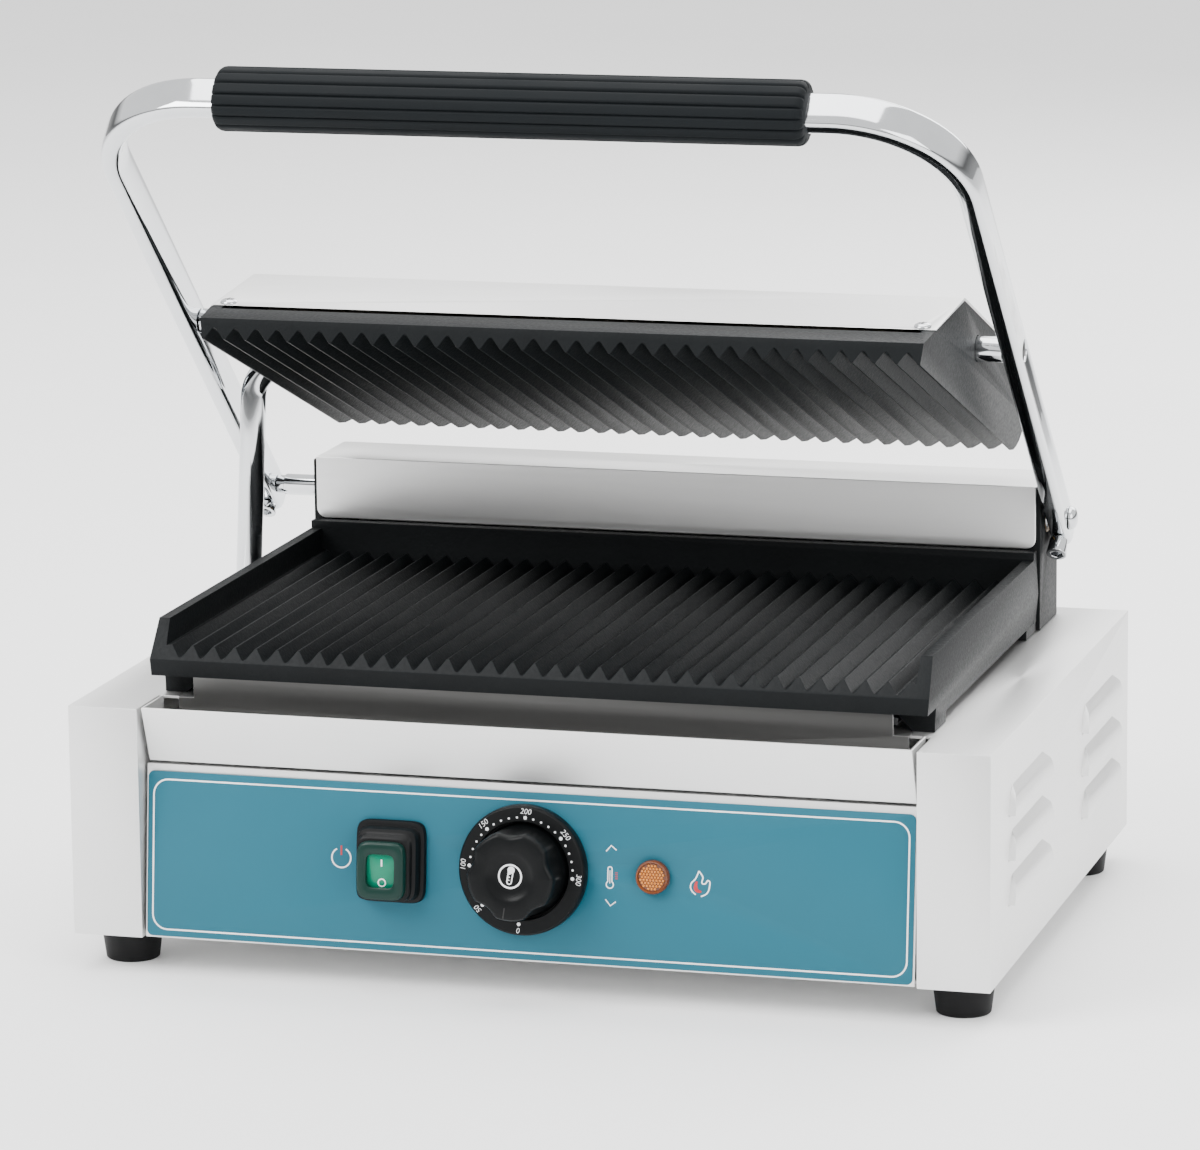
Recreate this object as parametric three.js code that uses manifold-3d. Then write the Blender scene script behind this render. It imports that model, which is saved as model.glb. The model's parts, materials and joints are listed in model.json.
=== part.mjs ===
// Contact grill with a ribbed lower plate, a self-levelling ribbed upper plate carried by a
// tubular bail, a slide-out drip tray and a slanted control panel.
// Units are millimetres. +X is the user's right, +Y is the back, +Z is up. The grill is built
// with the housing's front at Y = 0 and the table at Z = 0, then moved to its origin at the end.

import * as THREE from 'three';
import { mergeVertices } from 'three/addons/utils/BufferGeometryUtils.js';
import Module from 'manifold-3d';

const wasm = await Module();
wasm.setup();

const degrees = Math.PI / 180;

// ---- driving dimensions ----------------------------------------------------------------------

const clearance = 0.3;             // between pieces that rest on or pass by each other
const sheet = 1.2;                 // stainless sheet

const housing = {
  width: 430,
  depth: 315,
  top: 124.3,
  bottom: 16.9,
  legWidth: 33.2,                  // front leg of each side panel
  shelfWidth: 43,                  // top shelf of each side panel
  returnDepth: 20,                 // inner return behind each front leg
  backFlange: 16.5,
  bottomFlange: 30,
};

const louvre = {
  length: 85.5, height: 12.2, proud: 3.5, pitch: 20.5, count: 3,
  lowest: 47.7,                    // bottom edge of the lowest one
  rakeFront: 9, rakeBack: 11,      // how far the top edge is shorter at each end
  frontColumn: 36.5, backColumn: 201,
};

const foot = { topRadius: 14.4, bottomRadius: 11.8, inFromSide: 18, inFromFront: 28, inFromBack: 29 };

const panel = {
  lean: 5.71 * degrees,            // top leans back
  bottomY: 1.5, bottomZ: 17.3,
  width: housing.width - 2 * (housing.legWidth + 1.3), height: 80.2, flange: 15,
  overlayThickness: 0.6, overlayMargin: 0.8, overlayTopMargin: 3.2, overlayRadius: 2.8,
};

const tray = {
  width: housing.width - 2 * (housing.legWidth + 2.1), frontTop: 125, lean: 10, bottom: 98.4,
  depth: 27.3, backWall: 20, travel: 60,
};

const apron = { y: 28.6, top: 134.8, bottom: 96, halfWidth: housing.width / 2 - 50.5 };

const rib = { pitch: 10.19, depth: 5.3, tipRadius: 0.8, valleyRadius: 1.3, flank: 52.6 * degrees };

const lowerPlate = {
  halfWidth: housing.width / 2 - 32.4, topDraft: 1, skirtDraft: 1.2,
  frontY: 21, backY: 256,
  tipZ: 149.6, slabUnderside: 137.6, frontUnderside: 135.6, widestZ: 143.2,
  wallTop: 160.3, wallThickness: 5.2,
  skirtBottom: 129.4, skirtThickness: 6,
  frontSlope: 34.1 * degrees,
  lugWidth: 16.4, lugChamfer: 6, lugFrontY: 38, lugLength: 21.5,
  backWallTop: 163.9, backWallThickness: 6,
};
lowerPlate.topHalfWidth = lowerPlate.halfWidth - lowerPlate.topDraft;
lowerPlate.skirtHalfWidth = lowerPlate.halfWidth - lowerPlate.skirtDraft;
lowerPlate.grooves = Math.floor(2 * (lowerPlate.topHalfWidth - lowerPlate.wallThickness) / rib.pitch);
lowerPlate.ribbedHalfWidth = lowerPlate.grooves * rib.pitch / 2 + 0.4;

const rearCover = {
  halfWidth: housing.width / 2 - 34.1, frontY: 257, backY: 300.6, bottomZ: 164.3, topZ: 194.7,
  cornerRadius: 5,
};

const bracket = {
  outerX: rearCover.halfWidth + 1.9, innerX: rearCover.halfWidth - 7.9, boreRadius: 7.3, bushLength: 9,
};

const hinge = {
  y: 277, z: 176.3, axleRadius: 5.2, neckRadius: 4.4, neckLength: 4, boltBore: 3.3,
  bushRadius: 7, springCoils: 5, springWire: 1.5,
};

const bail = {
  rightX: housing.width / 2 - 26.3, leftX: 2.5 - housing.width / 2, // centre lines of the two legs
  reach: 327.3,                    // hinge axis to the centre of the top bar
  bendRadius: 54,
  sectionWidth: 9.5, sectionDepth: 18, sectionRadius: 3.6, wall: 1.5,
  pastHinge: 13,
  openAngle: 43 * degrees,         // above horizontal, with the arm resting on its stop
  pivotReach: 145,                 // hinge axis to plate pivot
};

const grip = {
  shortOfLegs: 64.1, halfHeight: 15.4, halfThickness: 13.6, flutes: 18, fluteDepth: 0.9, endBevel: 3,
};

const pivotPin = { radius: 6, studRadius: 3.5, insidePlate: 10, running: 0.35 };

const upperPlate = {
  halfWidth: lowerPlate.halfWidth - 11.4, endDraft: 2.4,
  slabTop: 14, endWall: 6, frontLip: 12, backLip: 9,
  pivotU: 104.5, pivotV: 28.7,     // from the front rib tip, along and square to the ribs
  tilt: 20.65 * degrees,           // front up, with the arm open
  depth: 222.3, backRound: [[207, 0], [212.5, 1.3], [216.8, 3.9], [220.2, 7.2]],
  frontTopV: 9.6, coverLowU: 15.2, coverLowV: 19.1, screwInset: 7,
  ridgeU: 69.3, ridgeV: 45.3, backEdgeU: 208, backLowV: 11.4,
};
upperPlate.grooves = Math.floor(2 * (upperPlate.halfWidth - upperPlate.endDraft) / rib.pitch);

const conduit = {
  x: -(upperPlate.halfWidth + 23.8), radius: 6.2, wall: 1.4, bendRadius: 17,
  fromPivotU: 44.6, fromPivotV: -10.4,
  rake: 12.25 * degrees,           // of the hanging leg, from square to the ribs, towards the back
  drop: 141,
  slotFront: 172, slotBack: 210,   // opening in the left shelf
};
conduit.slotHalfWidth = conduit.radius + 2.2;

const dial = {
  x: 0.5, up: 42.2, ringRadius: 29.6, ringHeight: 6.6, ringGap: 2.2, knobRadius: 20.4,
  knobFrom: 1.8, knobTo: 24.88, scallops: 5, scallopFrom: 54, scallopDepth: 1.7, shaftRadius: 3,
};

const rocker = {
  x: -62.2, up: 42.3, bezelWidth: 32.6, bezelHeight: 37.4, bezelProud: 3.2, stepProud: 10,
  stepWidth: 28.4, stepHeight: 32.6, openingWidth: 22.4, openingHeight: 25.2,
  centreDrop: 2.4, faceHeight: 18, faceWidth: 17, bootProud: 14,
};

const lamp = { x: 60.3, up: 42.2, radius: 7.9, proud: 3.4, bodyRadius: 5.4, bodyLength: 24 };

// ---- solids ----------------------------------------------------------------------------------

function solid(geometry) {
  geometry.deleteAttribute('normal');
  geometry.deleteAttribute('uv');
  const merged = mergeVertices(geometry, 1e-4);
  const mesh = new wasm.Mesh({
    numProp: 3,
    vertProperties: new Float32Array(merged.attributes.position.array),
    triVerts: new Uint32Array(merged.index.array),
  });
  return new wasm.Manifold(mesh);
}

function geometryOf(body) {
  const mesh = body.getMesh();
  const geometry = new THREE.BufferGeometry();
  geometry.setAttribute('position', new THREE.BufferAttribute(new Float32Array(mesh.vertProperties), 3));
  geometry.setIndex(new THREE.BufferAttribute(new Uint32Array(mesh.triVerts), 1));
  return geometry;
}

function join(first, ...others) {
  return others.reduce((body, other) => body.add(other), first);
}

function cut(body, ...tools) {
  return tools.reduce((left, tool) => left.subtract(tool), body);
}

function box(x0, x1, y0, y1, z0, z1) {
  const geometry = new THREE.BoxGeometry(x1 - x0, y1 - y0, z1 - z0);
  geometry.translate((x0 + x1) / 2, (y0 + y1) / 2, (z0 + z1) / 2);
  return solid(geometry);
}

function outline(points) {
  return new THREE.Shape(points.map(([a, b]) => new THREE.Vector2(a, b)));
}

function roundedOutline(centreA, centreB, width, height, radius) {
  const shape = new THREE.Shape();
  const a0 = centreA - width / 2 + radius;
  const a1 = centreA + width / 2 - radius;
  const b0 = centreB - height / 2 + radius;
  const b1 = centreB + height / 2 - radius;
  shape.absarc(a0, b0, radius, Math.PI, 1.5 * Math.PI);
  shape.absarc(a1, b0, radius, 1.5 * Math.PI, 2 * Math.PI);
  shape.absarc(a1, b1, radius, 0, 0.5 * Math.PI);
  shape.absarc(a0, b1, radius, 0.5 * Math.PI, Math.PI);
  shape.closePath();
  return shape;
}

function extruded(shape, depth, curveSegments) {
  return new THREE.ExtrudeGeometry(shape, { depth, bevelEnabled: false, curveSegments });
}

// outline in (Y, Z), extruded along X
function alongX(shape, x0, x1, curveSegments = 4) {
  const geometry = extruded(shape, x1 - x0, curveSegments);
  geometry.applyMatrix4(new THREE.Matrix4().makeBasis(
    new THREE.Vector3(0, 1, 0), new THREE.Vector3(0, 0, 1), new THREE.Vector3(1, 0, 0)));
  geometry.translate(x0, 0, 0);
  return solid(geometry);
}

// outline in (X, Z), extruded along Y
function alongY(shape, y0, y1, curveSegments = 4) {
  const geometry = extruded(shape, y1 - y0, curveSegments);
  geometry.applyMatrix4(new THREE.Matrix4().makeBasis(
    new THREE.Vector3(1, 0, 0), new THREE.Vector3(0, 0, 1), new THREE.Vector3(0, -1, 0)));
  geometry.translate(0, y1, 0);
  return solid(geometry);
}

// outline in (X, Y), extruded along Z
function alongZ(shape, z0, z1, curveSegments = 4) {
  const geometry = extruded(shape, z1 - z0, curveSegments);
  geometry.translate(0, 0, z0);
  return solid(geometry);
}

function rodX(radius, x0, x1, y, z, sides = 20, endRadius = radius) {
  const geometry = new THREE.CylinderGeometry(endRadius, radius, x1 - x0, sides);
  geometry.rotateZ(-Math.PI / 2);
  geometry.translate((x0 + x1) / 2, y, z);
  return solid(geometry);
}

// radius is at y0, endRadius at y1
function rodY(radius, y0, y1, x, z, sides = 20, endRadius = radius) {
  const geometry = new THREE.CylinderGeometry(endRadius, radius, y1 - y0, sides);
  geometry.translate(x, (y0 + y1) / 2, z);
  return solid(geometry);
}

function rodZ(radius, z0, z1, x, y, sides = 20, endRadius = radius) {
  const geometry = new THREE.CylinderGeometry(endRadius, radius, z1 - z0, sides);
  geometry.rotateX(Math.PI / 2);
  geometry.translate(x, y, (z0 + z1) / 2);
  return solid(geometry);
}

// a path through given points, sampled at exactly those points
class PointPath extends THREE.Curve {
  constructor(points) {
    super();
    this.points = points;
  }

  get steps() {
    return this.points.length - 1;
  }

  getUtoTmapping(u) {
    return u;
  }

  getPoint(t, target = new THREE.Vector3()) {
    const place = Math.min(Math.max(t, 0), 1) * this.steps;
    const index = Math.min(Math.floor(place + 1e-9), this.steps - 1);
    return target.lerpVectors(this.points[index], this.points[index + 1], place - index);
  }

  getTangent(t, target = new THREE.Vector3()) {
    const index = Math.round(t * this.steps);
    const before = this.points[Math.max(index - 1, 0)];
    const here = this.points[index];
    const after = this.points[Math.min(index + 1, this.steps)];
    const incoming = new THREE.Vector3().subVectors(here, before).normalize();
    const outgoing = new THREE.Vector3().subVectors(after, here).normalize();
    return target.addVectors(incoming, outgoing).normalize();
  }
}

function swept(shape, points, curveSegments) {
  const path = new PointPath(points);
  return solid(new THREE.ExtrudeGeometry(shape, {
    steps: path.steps, extrudePath: path, bevelEnabled: false, curveSegments,
  }));
}

function arcPoints(centre, radius, from, to, steps, place) {
  const points = [];
  for (let step = 0; step <= steps; step += 1) {
    const angle = from + (to - from) * step / steps;
    points.push(place(centre[0] + radius * Math.cos(angle), centre[1] + radius * Math.sin(angle)));
  }
  return points;
}

function circleShape(radius) {
  return new THREE.Shape().absarc(0, 0, radius, 0, 2 * Math.PI);
}

// ---- materials -------------------------------------------------------------------------------

function material(color, roughness, metalness) {
  return new THREE.MeshStandardMaterial({ color, roughness, metalness });
}

const stainless = material(0xd2d3d3, 0.34, 1);
const chrome = material(0xdadddf, 0.08, 1);
const castIron = material(0x202426, 0.72, 0.2);
const steel = material(0x8d9092, 0.4, 1);
const blackRubber = material(0x17191a, 0.85, 0);
const gripPlastic = material(0x2a3235, 0.6, 0);
const blackPlastic = material(0x141617, 0.45, 0);
const overlayBlue = material(0x528fa0, 0.5, 0);
const greenPlastic = material(0x0c8a52, 0.35, 0);
const darkGreen = material(0x1d4a38, 0.4, 0);
const amber = material(0xc8792a, 0.25, 0);
const heaterMetal = material(0x59534c, 0.6, 0.8);
const mineralWool = material(0xc9c0a6, 0.95, 0);
const bronze = material(0xa9803f, 0.4, 1);
const nylon = material(0xd9d6cb, 0.55, 0);

// ---- assembly frames -------------------------------------------------------------------------

const grill = new THREE.Group();

const panelFrame = new THREE.Group();        // +Z up the slanted panel, -Y out of its face
panelFrame.position.set(0, panel.bottomY, panel.bottomZ);
panelFrame.rotation.x = -panel.lean;
grill.add(panelFrame);

const armFrame = new THREE.Group();          // on the hinge axis, -Y along the legs
armFrame.position.set(0, hinge.y, hinge.z);
armFrame.rotation.x = -bail.openAngle;
grill.add(armFrame);

const plateFrame = new THREE.Group();        // on the plate pivot, +Y along the ribs
plateFrame.position.set(
  0,
  hinge.y - bail.pivotReach * Math.cos(bail.openAngle),
  hinge.z + bail.pivotReach * Math.sin(bail.openAngle));
plateFrame.rotation.x = -upperPlate.tilt;
grill.add(plateFrame);

function add(frame, name, body, finish) {
  const mesh = new THREE.Mesh(geometryOf(body), finish);
  mesh.name = name;
  frame.add(mesh);
}

function mirrorName(side, rest) {
  return `${side > 0 ? 'right' : 'left'}_${rest}`;
}

// ---- housing ---------------------------------------------------------------------------------

const halfWidth = housing.width / 2;
const legInner = halfWidth - housing.legWidth;

function louvreShell(side, startY, bottomZ, inset) {
  const face = halfWidth - inset;
  const proud = louvre.proud;
  const bottom = bottomZ - (inset > 0 ? 1 : 0);
  const top = bottomZ + louvre.height - 1.6 * inset;
  const profile = outline([
    [face - 1, bottom], [face + proud, bottom], [face + 0.92 * proud, bottomZ + 0.38 * louvre.height],
    [face + 0.66 * proud, bottomZ + 0.7 * louvre.height], [face, top], [face - 1, top],
  ].map(([x, z]) => [side * x, z]));
  const start = startY + inset;
  const end = startY + louvre.length - inset;
  const eyelid = alongX(outline([
    [start, bottom], [end, bottom],
    [end - 0.3 * louvre.rakeBack, bottom + 0.6 * louvre.height], [end - louvre.rakeBack, top],
    [start + louvre.rakeFront, top], [start + 0.45 * louvre.rakeFront, bottom + 0.6 * louvre.height],
  ]), side > 0 ? face - 2 : -face - proud - 2, side > 0 ? face + proud + 2 : -face + 2);
  return alongY(profile, start, end).intersect(eyelid);
}

function sidePanel(side) {
  const wall = (x0, x1, y0, y1, z0, z1) => box(
    Math.min(side * x0, side * x1), Math.max(side * x0, side * x1), y0, y1, z0, z1);
  const { depth, top, bottom } = housing;
  let body = join(
    wall(halfWidth - sheet, halfWidth, 0, depth, bottom, top),
    wall(legInner, halfWidth, 0, sheet, bottom, top),
    wall(legInner, legInner + sheet, 0, housing.returnDepth, bottom, top),
    wall(legInner, halfWidth, 0, depth, top - sheet, top),
    wall(halfWidth - housing.shelfWidth, halfWidth, apron.y + sheet + clearance, depth, top - sheet, top),
    wall(halfWidth - housing.backFlange, halfWidth, depth - sheet, depth, bottom, top),
    wall(halfWidth - housing.bottomFlange, halfWidth, 0, depth, bottom, bottom + sheet));
  for (const startY of [louvre.frontColumn, louvre.backColumn]) {
    for (let row = 0; row < louvre.count; row += 1) {
      const bottomZ = louvre.lowest + row * louvre.pitch;
      body = cut(
        join(body, louvreShell(side, startY, bottomZ, 0)), louvreShell(side, startY, bottomZ, sheet));
    }
  }
  for (const y of [foot.inFromFront, housing.depth - foot.inFromBack]) {
    body = cut(body, rodZ(2.3, bottom - 1, bottom + 3, side * (halfWidth - foot.inFromSide), y, 12));
  }
  if (side < 0) {
    body = cut(body, alongZ(conduitSlot(0), top - 3, top + 1, 3));
  }
  return body;
}

function conduitSlot(grow) {
  return roundedOutline(
    conduit.x, (conduit.slotFront + conduit.slotBack) / 2,
    2 * (conduit.slotHalfWidth + grow), conduit.slotBack - conduit.slotFront + 2 * grow,
    conduit.slotHalfWidth + grow - 0.1);
}

function conduitGrommet() {
  const lip = 3.2;
  return cut(
    join(
      alongZ(conduitSlot(lip), housing.top + clearance, housing.top + 2.2, 3),
      alongZ(conduitSlot(-clearance), housing.top - 3, housing.top + 1, 3)),
    alongZ(conduitSlot(-1.1), housing.top - 5, housing.top + 4, 3));
}

// work deck between the side panels, with the grease apron folded up and down at its front
// and a port for the heater's leads
function deck() {
  const half = halfWidth - housing.shelfWidth - clearance;
  const top = housing.top;
  const flange = 12;
  return cut(
    join(
      box(-half, half, apron.y, housing.depth, top - sheet, top),
      box(-half, half, apron.y, apron.y + sheet, apron.bottom, top),
      box(-apron.halfWidth, apron.halfWidth, apron.y, apron.y + sheet, top - 4, apron.top),
      box(-half, half, apron.y, apron.y + flange, apron.bottom, apron.bottom + sheet)),
    box(-14, 14, 90, 118, top - 5, top + 5));
}

function backPanel() {
  const half = halfWidth - housing.backFlange - clearance;
  let body = box(-half, half, housing.depth - sheet, housing.depth,
    housing.bottom + sheet + clearance, housing.top - sheet - clearance);
  for (let slot = 0; slot < 9; slot += 1) {
    const x = -70 + slot * 17.5;
    body = cut(body, alongY(roundedOutline(x, 78, 4, 36, 1.9), housing.depth - 5, housing.depth + 5, 1));
  }
  return cut(body, rodY(gland.radius + clearance, housing.depth - 5, housing.depth + 5, gland.x, gland.z));
}

function basePlate() {
  const half = halfWidth - sheet - 2 * clearance;
  const z0 = housing.bottom + sheet + clearance;
  const back = housing.depth - sheet - clearance;
  let body = join(
    box(-half, half, housing.returnDepth + clearance, back, z0, z0 + sheet),
    box(-legInner + clearance, legInner - clearance, 4, back, z0, z0 + sheet));
  for (let slot = 0; slot < 8; slot += 1) {
    const y = 110 + slot * 16;
    body = cut(body, box(-60, 60, y, y + 4, z0 - 2, z0 + 4));
  }
  for (const x of [-1, 1]) {
    for (const y of [foot.inFromFront, housing.depth - foot.inFromBack]) {
      body = cut(body, rodZ(2.3, z0 - 2, z0 + 4, x * (halfWidth - foot.inFromSide), y, 12));
    }
  }
  return body;
}

const footTop = housing.bottom - clearance;

function rubberFoot(x, y) {
  const recessRadius = 5;
  return cut(
    rodZ(foot.bottomRadius, 0, footTop, x, y, 20, foot.topRadius),
    rodZ(recessRadius, -1, 7, x, y, 12),
    rodZ(2.3, 0, footTop + 1, x, y, 12));
}

function footScrew(x, y) {
  const nutTop = housing.bottom + 2 * sheet + 2 * clearance + 3.2;
  return join(rodZ(4.2, 3.6, 6.6, x, y, 12), rodZ(1.9, 6, nutTop, x, y, 12));
}

// ---- control panel, in panelFrame --------------------------------------------------------------

const rockerCentre = rocker.up - rocker.centreDrop;

const panelHoles = () => [
  box(rocker.x - rocker.openingWidth / 2, rocker.x + rocker.openingWidth / 2, -5, 5,
    rockerCentre - rocker.openingHeight / 2, rockerCentre + rocker.openingHeight / 2),
  rodY(dial.shaftRadius + 1.4, -5, 5, dial.x, dial.up),
  rodY(lamp.bodyRadius + clearance, -5, 5, lamp.x, lamp.up),
];

function controlPanel() {
  const half = panel.width / 2;
  return cut(
    join(
      box(-half, half, 0, sheet, 0, panel.height),
      box(-half, half, 0, panel.flange, panel.height - sheet, panel.height),
      box(-half + 14, half - 14, 0, 10, 4.4, 4.4 + sheet)),
    ...panelHoles());
}

function panelOverlay() {
  const width = panel.width - 2 * panel.overlayMargin;
  const height = panel.height - panel.overlayMargin - panel.overlayTopMargin;
  const face = -clearance;
  return cut(
    alongY(roundedOutline(0, panel.overlayMargin + height / 2, width, height, panel.overlayRadius),
      face - panel.overlayThickness, face, 4),
    ...panelHoles());
}

const panelFace = -(panel.overlayThickness + 2 * clearance);

function dialRing() {
  const face = panelFace;
  const outerLip = 1.4;
  return cut(
    join(
      rodY(dial.ringRadius - outerLip, face - dial.ringHeight, face - 2, dial.x, dial.up, 36, dial.ringRadius),
      rodY(dial.ringRadius, face - 2.5, face, dial.x, dial.up, 36)),
    rodY(dial.knobRadius + dial.ringGap, face - dial.ringHeight - 1, face - 1.2, dial.x, dial.up, 28),
    rodY(dial.shaftRadius + 1.4, face - 3, face + 1, dial.x, dial.up));
}

function knob() {
  const shape = new THREE.Shape();
  const steps = 60;
  for (let step = 0; step < steps; step += 1) {
    const angle = 2 * Math.PI * step / steps;
    const wave = Math.max(0, Math.cos((angle - dial.scallopFrom * degrees) * dial.scallops));
    const radius = dial.knobRadius - dial.scallopDepth * wave ** 1.5;
    const point = [dial.x + radius * Math.cos(angle), dial.up + radius * Math.sin(angle)];
    if (step === 0) {
      shape.moveTo(...point);
    } else {
      shape.lineTo(...point);
    }
  }
  shape.closePath();
  const back = panelFace - dial.knobFrom;
  const front = panelFace - dial.knobTo;
  const recess = 10.8;
  return cut(
    join(
      alongY(shape, front, back),
      rodY(dial.knobRadius + 1.2, back - 4, back, dial.x, dial.up, 32)),
    rodY(recess, front - 1, front + 1.6, dial.x, dial.up, 24),
    box(dial.x - 0.5, dial.x + 0.5, front - 1, front + 0.8,
      dial.up - dial.knobRadius - 1, dial.up - dial.knobRadius + 5),
    rodY(dial.shaftRadius + clearance, back - 14, back + 1, dial.x, dial.up));
}

const thermostat = { radius: 19, front: 3.4, length: 26 };

function thermostatShaft() {
  return rodY(dial.shaftRadius, panelFace - dial.knobFrom - 13, thermostat.front - clearance, dial.x, dial.up);
}

function thermostatBody() {
  const { front, radius, length } = thermostat;
  return join(
    rodY(radius, front, front + length, dial.x, dial.up, 28),
    box(dial.x - 24, dial.x + 24, front, front + 1.6, dial.up - 7, dial.up + 7),
    box(dial.x - 9, dial.x + 9, front + length - 1, front + length + 7, dial.up - 3, dial.up + 3));
}

function switchBezel() {
  const face = panelFace;
  return cut(
    join(
      alongY(roundedOutline(rocker.x, rocker.up, rocker.bezelWidth, rocker.bezelHeight, 4),
        face - rocker.bezelProud, face, 4),
      alongY(roundedOutline(rocker.x, rocker.up, rocker.stepWidth, rocker.stepHeight, 3.6),
        face - rocker.stepProud, face, 4)),
    box(rocker.x - rocker.openingWidth / 2, rocker.x + rocker.openingWidth / 2, face - 20, face + 1,
      rockerCentre - rocker.openingHeight / 2, rockerCentre + rocker.openingHeight / 2));
}

function switchBody() {
  const width = rocker.openingWidth - 2 * clearance;
  const height = rocker.openingHeight - 2 * clearance;
  const wall = 0.9;
  const floor = panelFace + 1.5;
  const outer = box(rocker.x - width / 2, rocker.x + width / 2, panelFace - 2.4, 24,
    rockerCentre - height / 2, rockerCentre + height / 2);
  const well = box(rocker.x - width / 2 + wall, rocker.x + width / 2 - wall, panelFace - 5, floor + 4,
    rockerCentre - height / 2 + wall, rockerCentre + height / 2 - wall);
  const blades = [-6, 0, 6].map((dz) => box(
    rocker.x - 3, rocker.x + 3, 23, 32, rockerCentre + dz - 0.5, rockerCentre + dz + 0.5));
  return join(cut(outer, well), ...blades);
}

// a rocker pivots on a line across its middle; its face stands at the off position
const rockerAxis = { y: panelFace - 1.2, z: rockerCentre };

function switchRocker() {
  const half = rocker.faceHeight / 2;
  const width = rocker.faceWidth;
  const face = panelFace - rocker.stepProud + 0.6;
  const shape = outline([
    [rockerAxis.y + 2.4, rockerAxis.z - 4], [face + 2.2, rockerAxis.z - half],
    [face + 1.4, rockerAxis.z - half], [face + 0.4, rockerAxis.z],
    [face - 1.2, rockerAxis.z + half], [face + 2.6, rockerAxis.z + half],
    [rockerAxis.y + 2.4, rockerAxis.z + 4],
  ]);
  return alongX(shape, rocker.x - width / 2, rocker.x + width / 2);
}

// soft see-through splash cap over the rocker
function switchBoot() {
  const width = 24;
  const height = 26;
  const rim = panelFace - rocker.stepProud - clearance;
  const face = panelFace - rocker.bootProud;
  return cut(
    join(
      alongY(roundedOutline(rocker.x, rockerCentre, width, height, 3.6), rim - 1.2, rim, 4),
      alongY(roundedOutline(rocker.x, rockerCentre, width - 2, height - 2, 3), face - 0.6, rim - 0.8, 4)),
    box(rocker.x - rocker.openingWidth / 2 + 1.2, rocker.x + rocker.openingWidth / 2 - 1.2,
      face + 0.4, rim + 1,
      rockerCentre - rocker.openingHeight / 2 + 1.2, rockerCentre + rocker.openingHeight / 2 - 1.2));
}

function lampLens() {
  const face = panelFace;
  return join(
    rodY(lamp.radius - 0.9, face - lamp.proud, face - 1.6, lamp.x, lamp.up, 32, lamp.radius),
    rodY(lamp.radius, face - 1.7, face, lamp.x, lamp.up, 32));
}

function lampBody() {
  return join(
    rodY(lamp.bodyRadius, panelFace + clearance, lamp.bodyLength, lamp.x, lamp.up),
    rodY(lamp.bodyRadius + 2.5, sheet + clearance, sheet + 4, lamp.x, lamp.up, 6),
    box(lamp.x - 3, lamp.x - 2, lamp.bodyLength - 1, lamp.bodyLength + 7, lamp.up - 2.4, lamp.up + 2.4),
    box(lamp.x + 2, lamp.x + 3, lamp.bodyLength - 1, lamp.bodyLength + 7, lamp.up - 2.4, lamp.up + 2.4));
}

// ---- drip tray -------------------------------------------------------------------------------

function dripTray() {
  const half = tray.width / 2;
  const { frontTop, bottom, lean, depth } = tray;
  const trough = alongX(outline([
    [0, frontTop], [lean, bottom], [depth, bottom], [depth, bottom + tray.backWall],
    [depth - sheet, bottom + tray.backWall], [depth - sheet, bottom + sheet],
    [lean + sheet, bottom + sheet], [1.4 * sheet, frontTop],
  ]), -half, half);
  const end = outline([[0.1, frontTop], [lean, bottom], [depth, bottom], [depth, frontTop]]);
  return join(trough, alongX(end, -half, -half + sheet), alongX(end, half - sheet, half));
}

// ---- lower plate and what is under it ----------------------------------------------------------

// ribs from +X to -X between two levels, with rounded tips and valleys, centred on X = 0
function ribLine(grooves, endX, tip, valley) {
  const points = [[endX, tip]];
  const into = Math.sign(valley - tip);
  const { pitch, tipRadius, valleyRadius, flank } = rib;
  const onTip = (x, angle) => [
    x + tipRadius * Math.sin(angle), tip + into * tipRadius * (1 - Math.cos(angle))];
  const inValley = (x, angle) => [
    x + valleyRadius * Math.sin(angle), valley - into * valleyRadius * (1 - Math.cos(angle))];
  for (let groove = 0; groove < grooves; groove += 1) {
    const x = ((grooves - 1) / 2 - groove) * pitch;
    points.push(onTip(x + pitch / 2, -flank / 2), onTip(x + pitch / 2, -flank));
    points.push(...[1, 0.5, 0, -0.5, -1].map((share) => inValley(x, share * flank)));
    points.push(onTip(x - pitch / 2, flank), onTip(x - pitch / 2, flank / 2));
  }
  points.push([-endX, tip]);
  return points;
}

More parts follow.
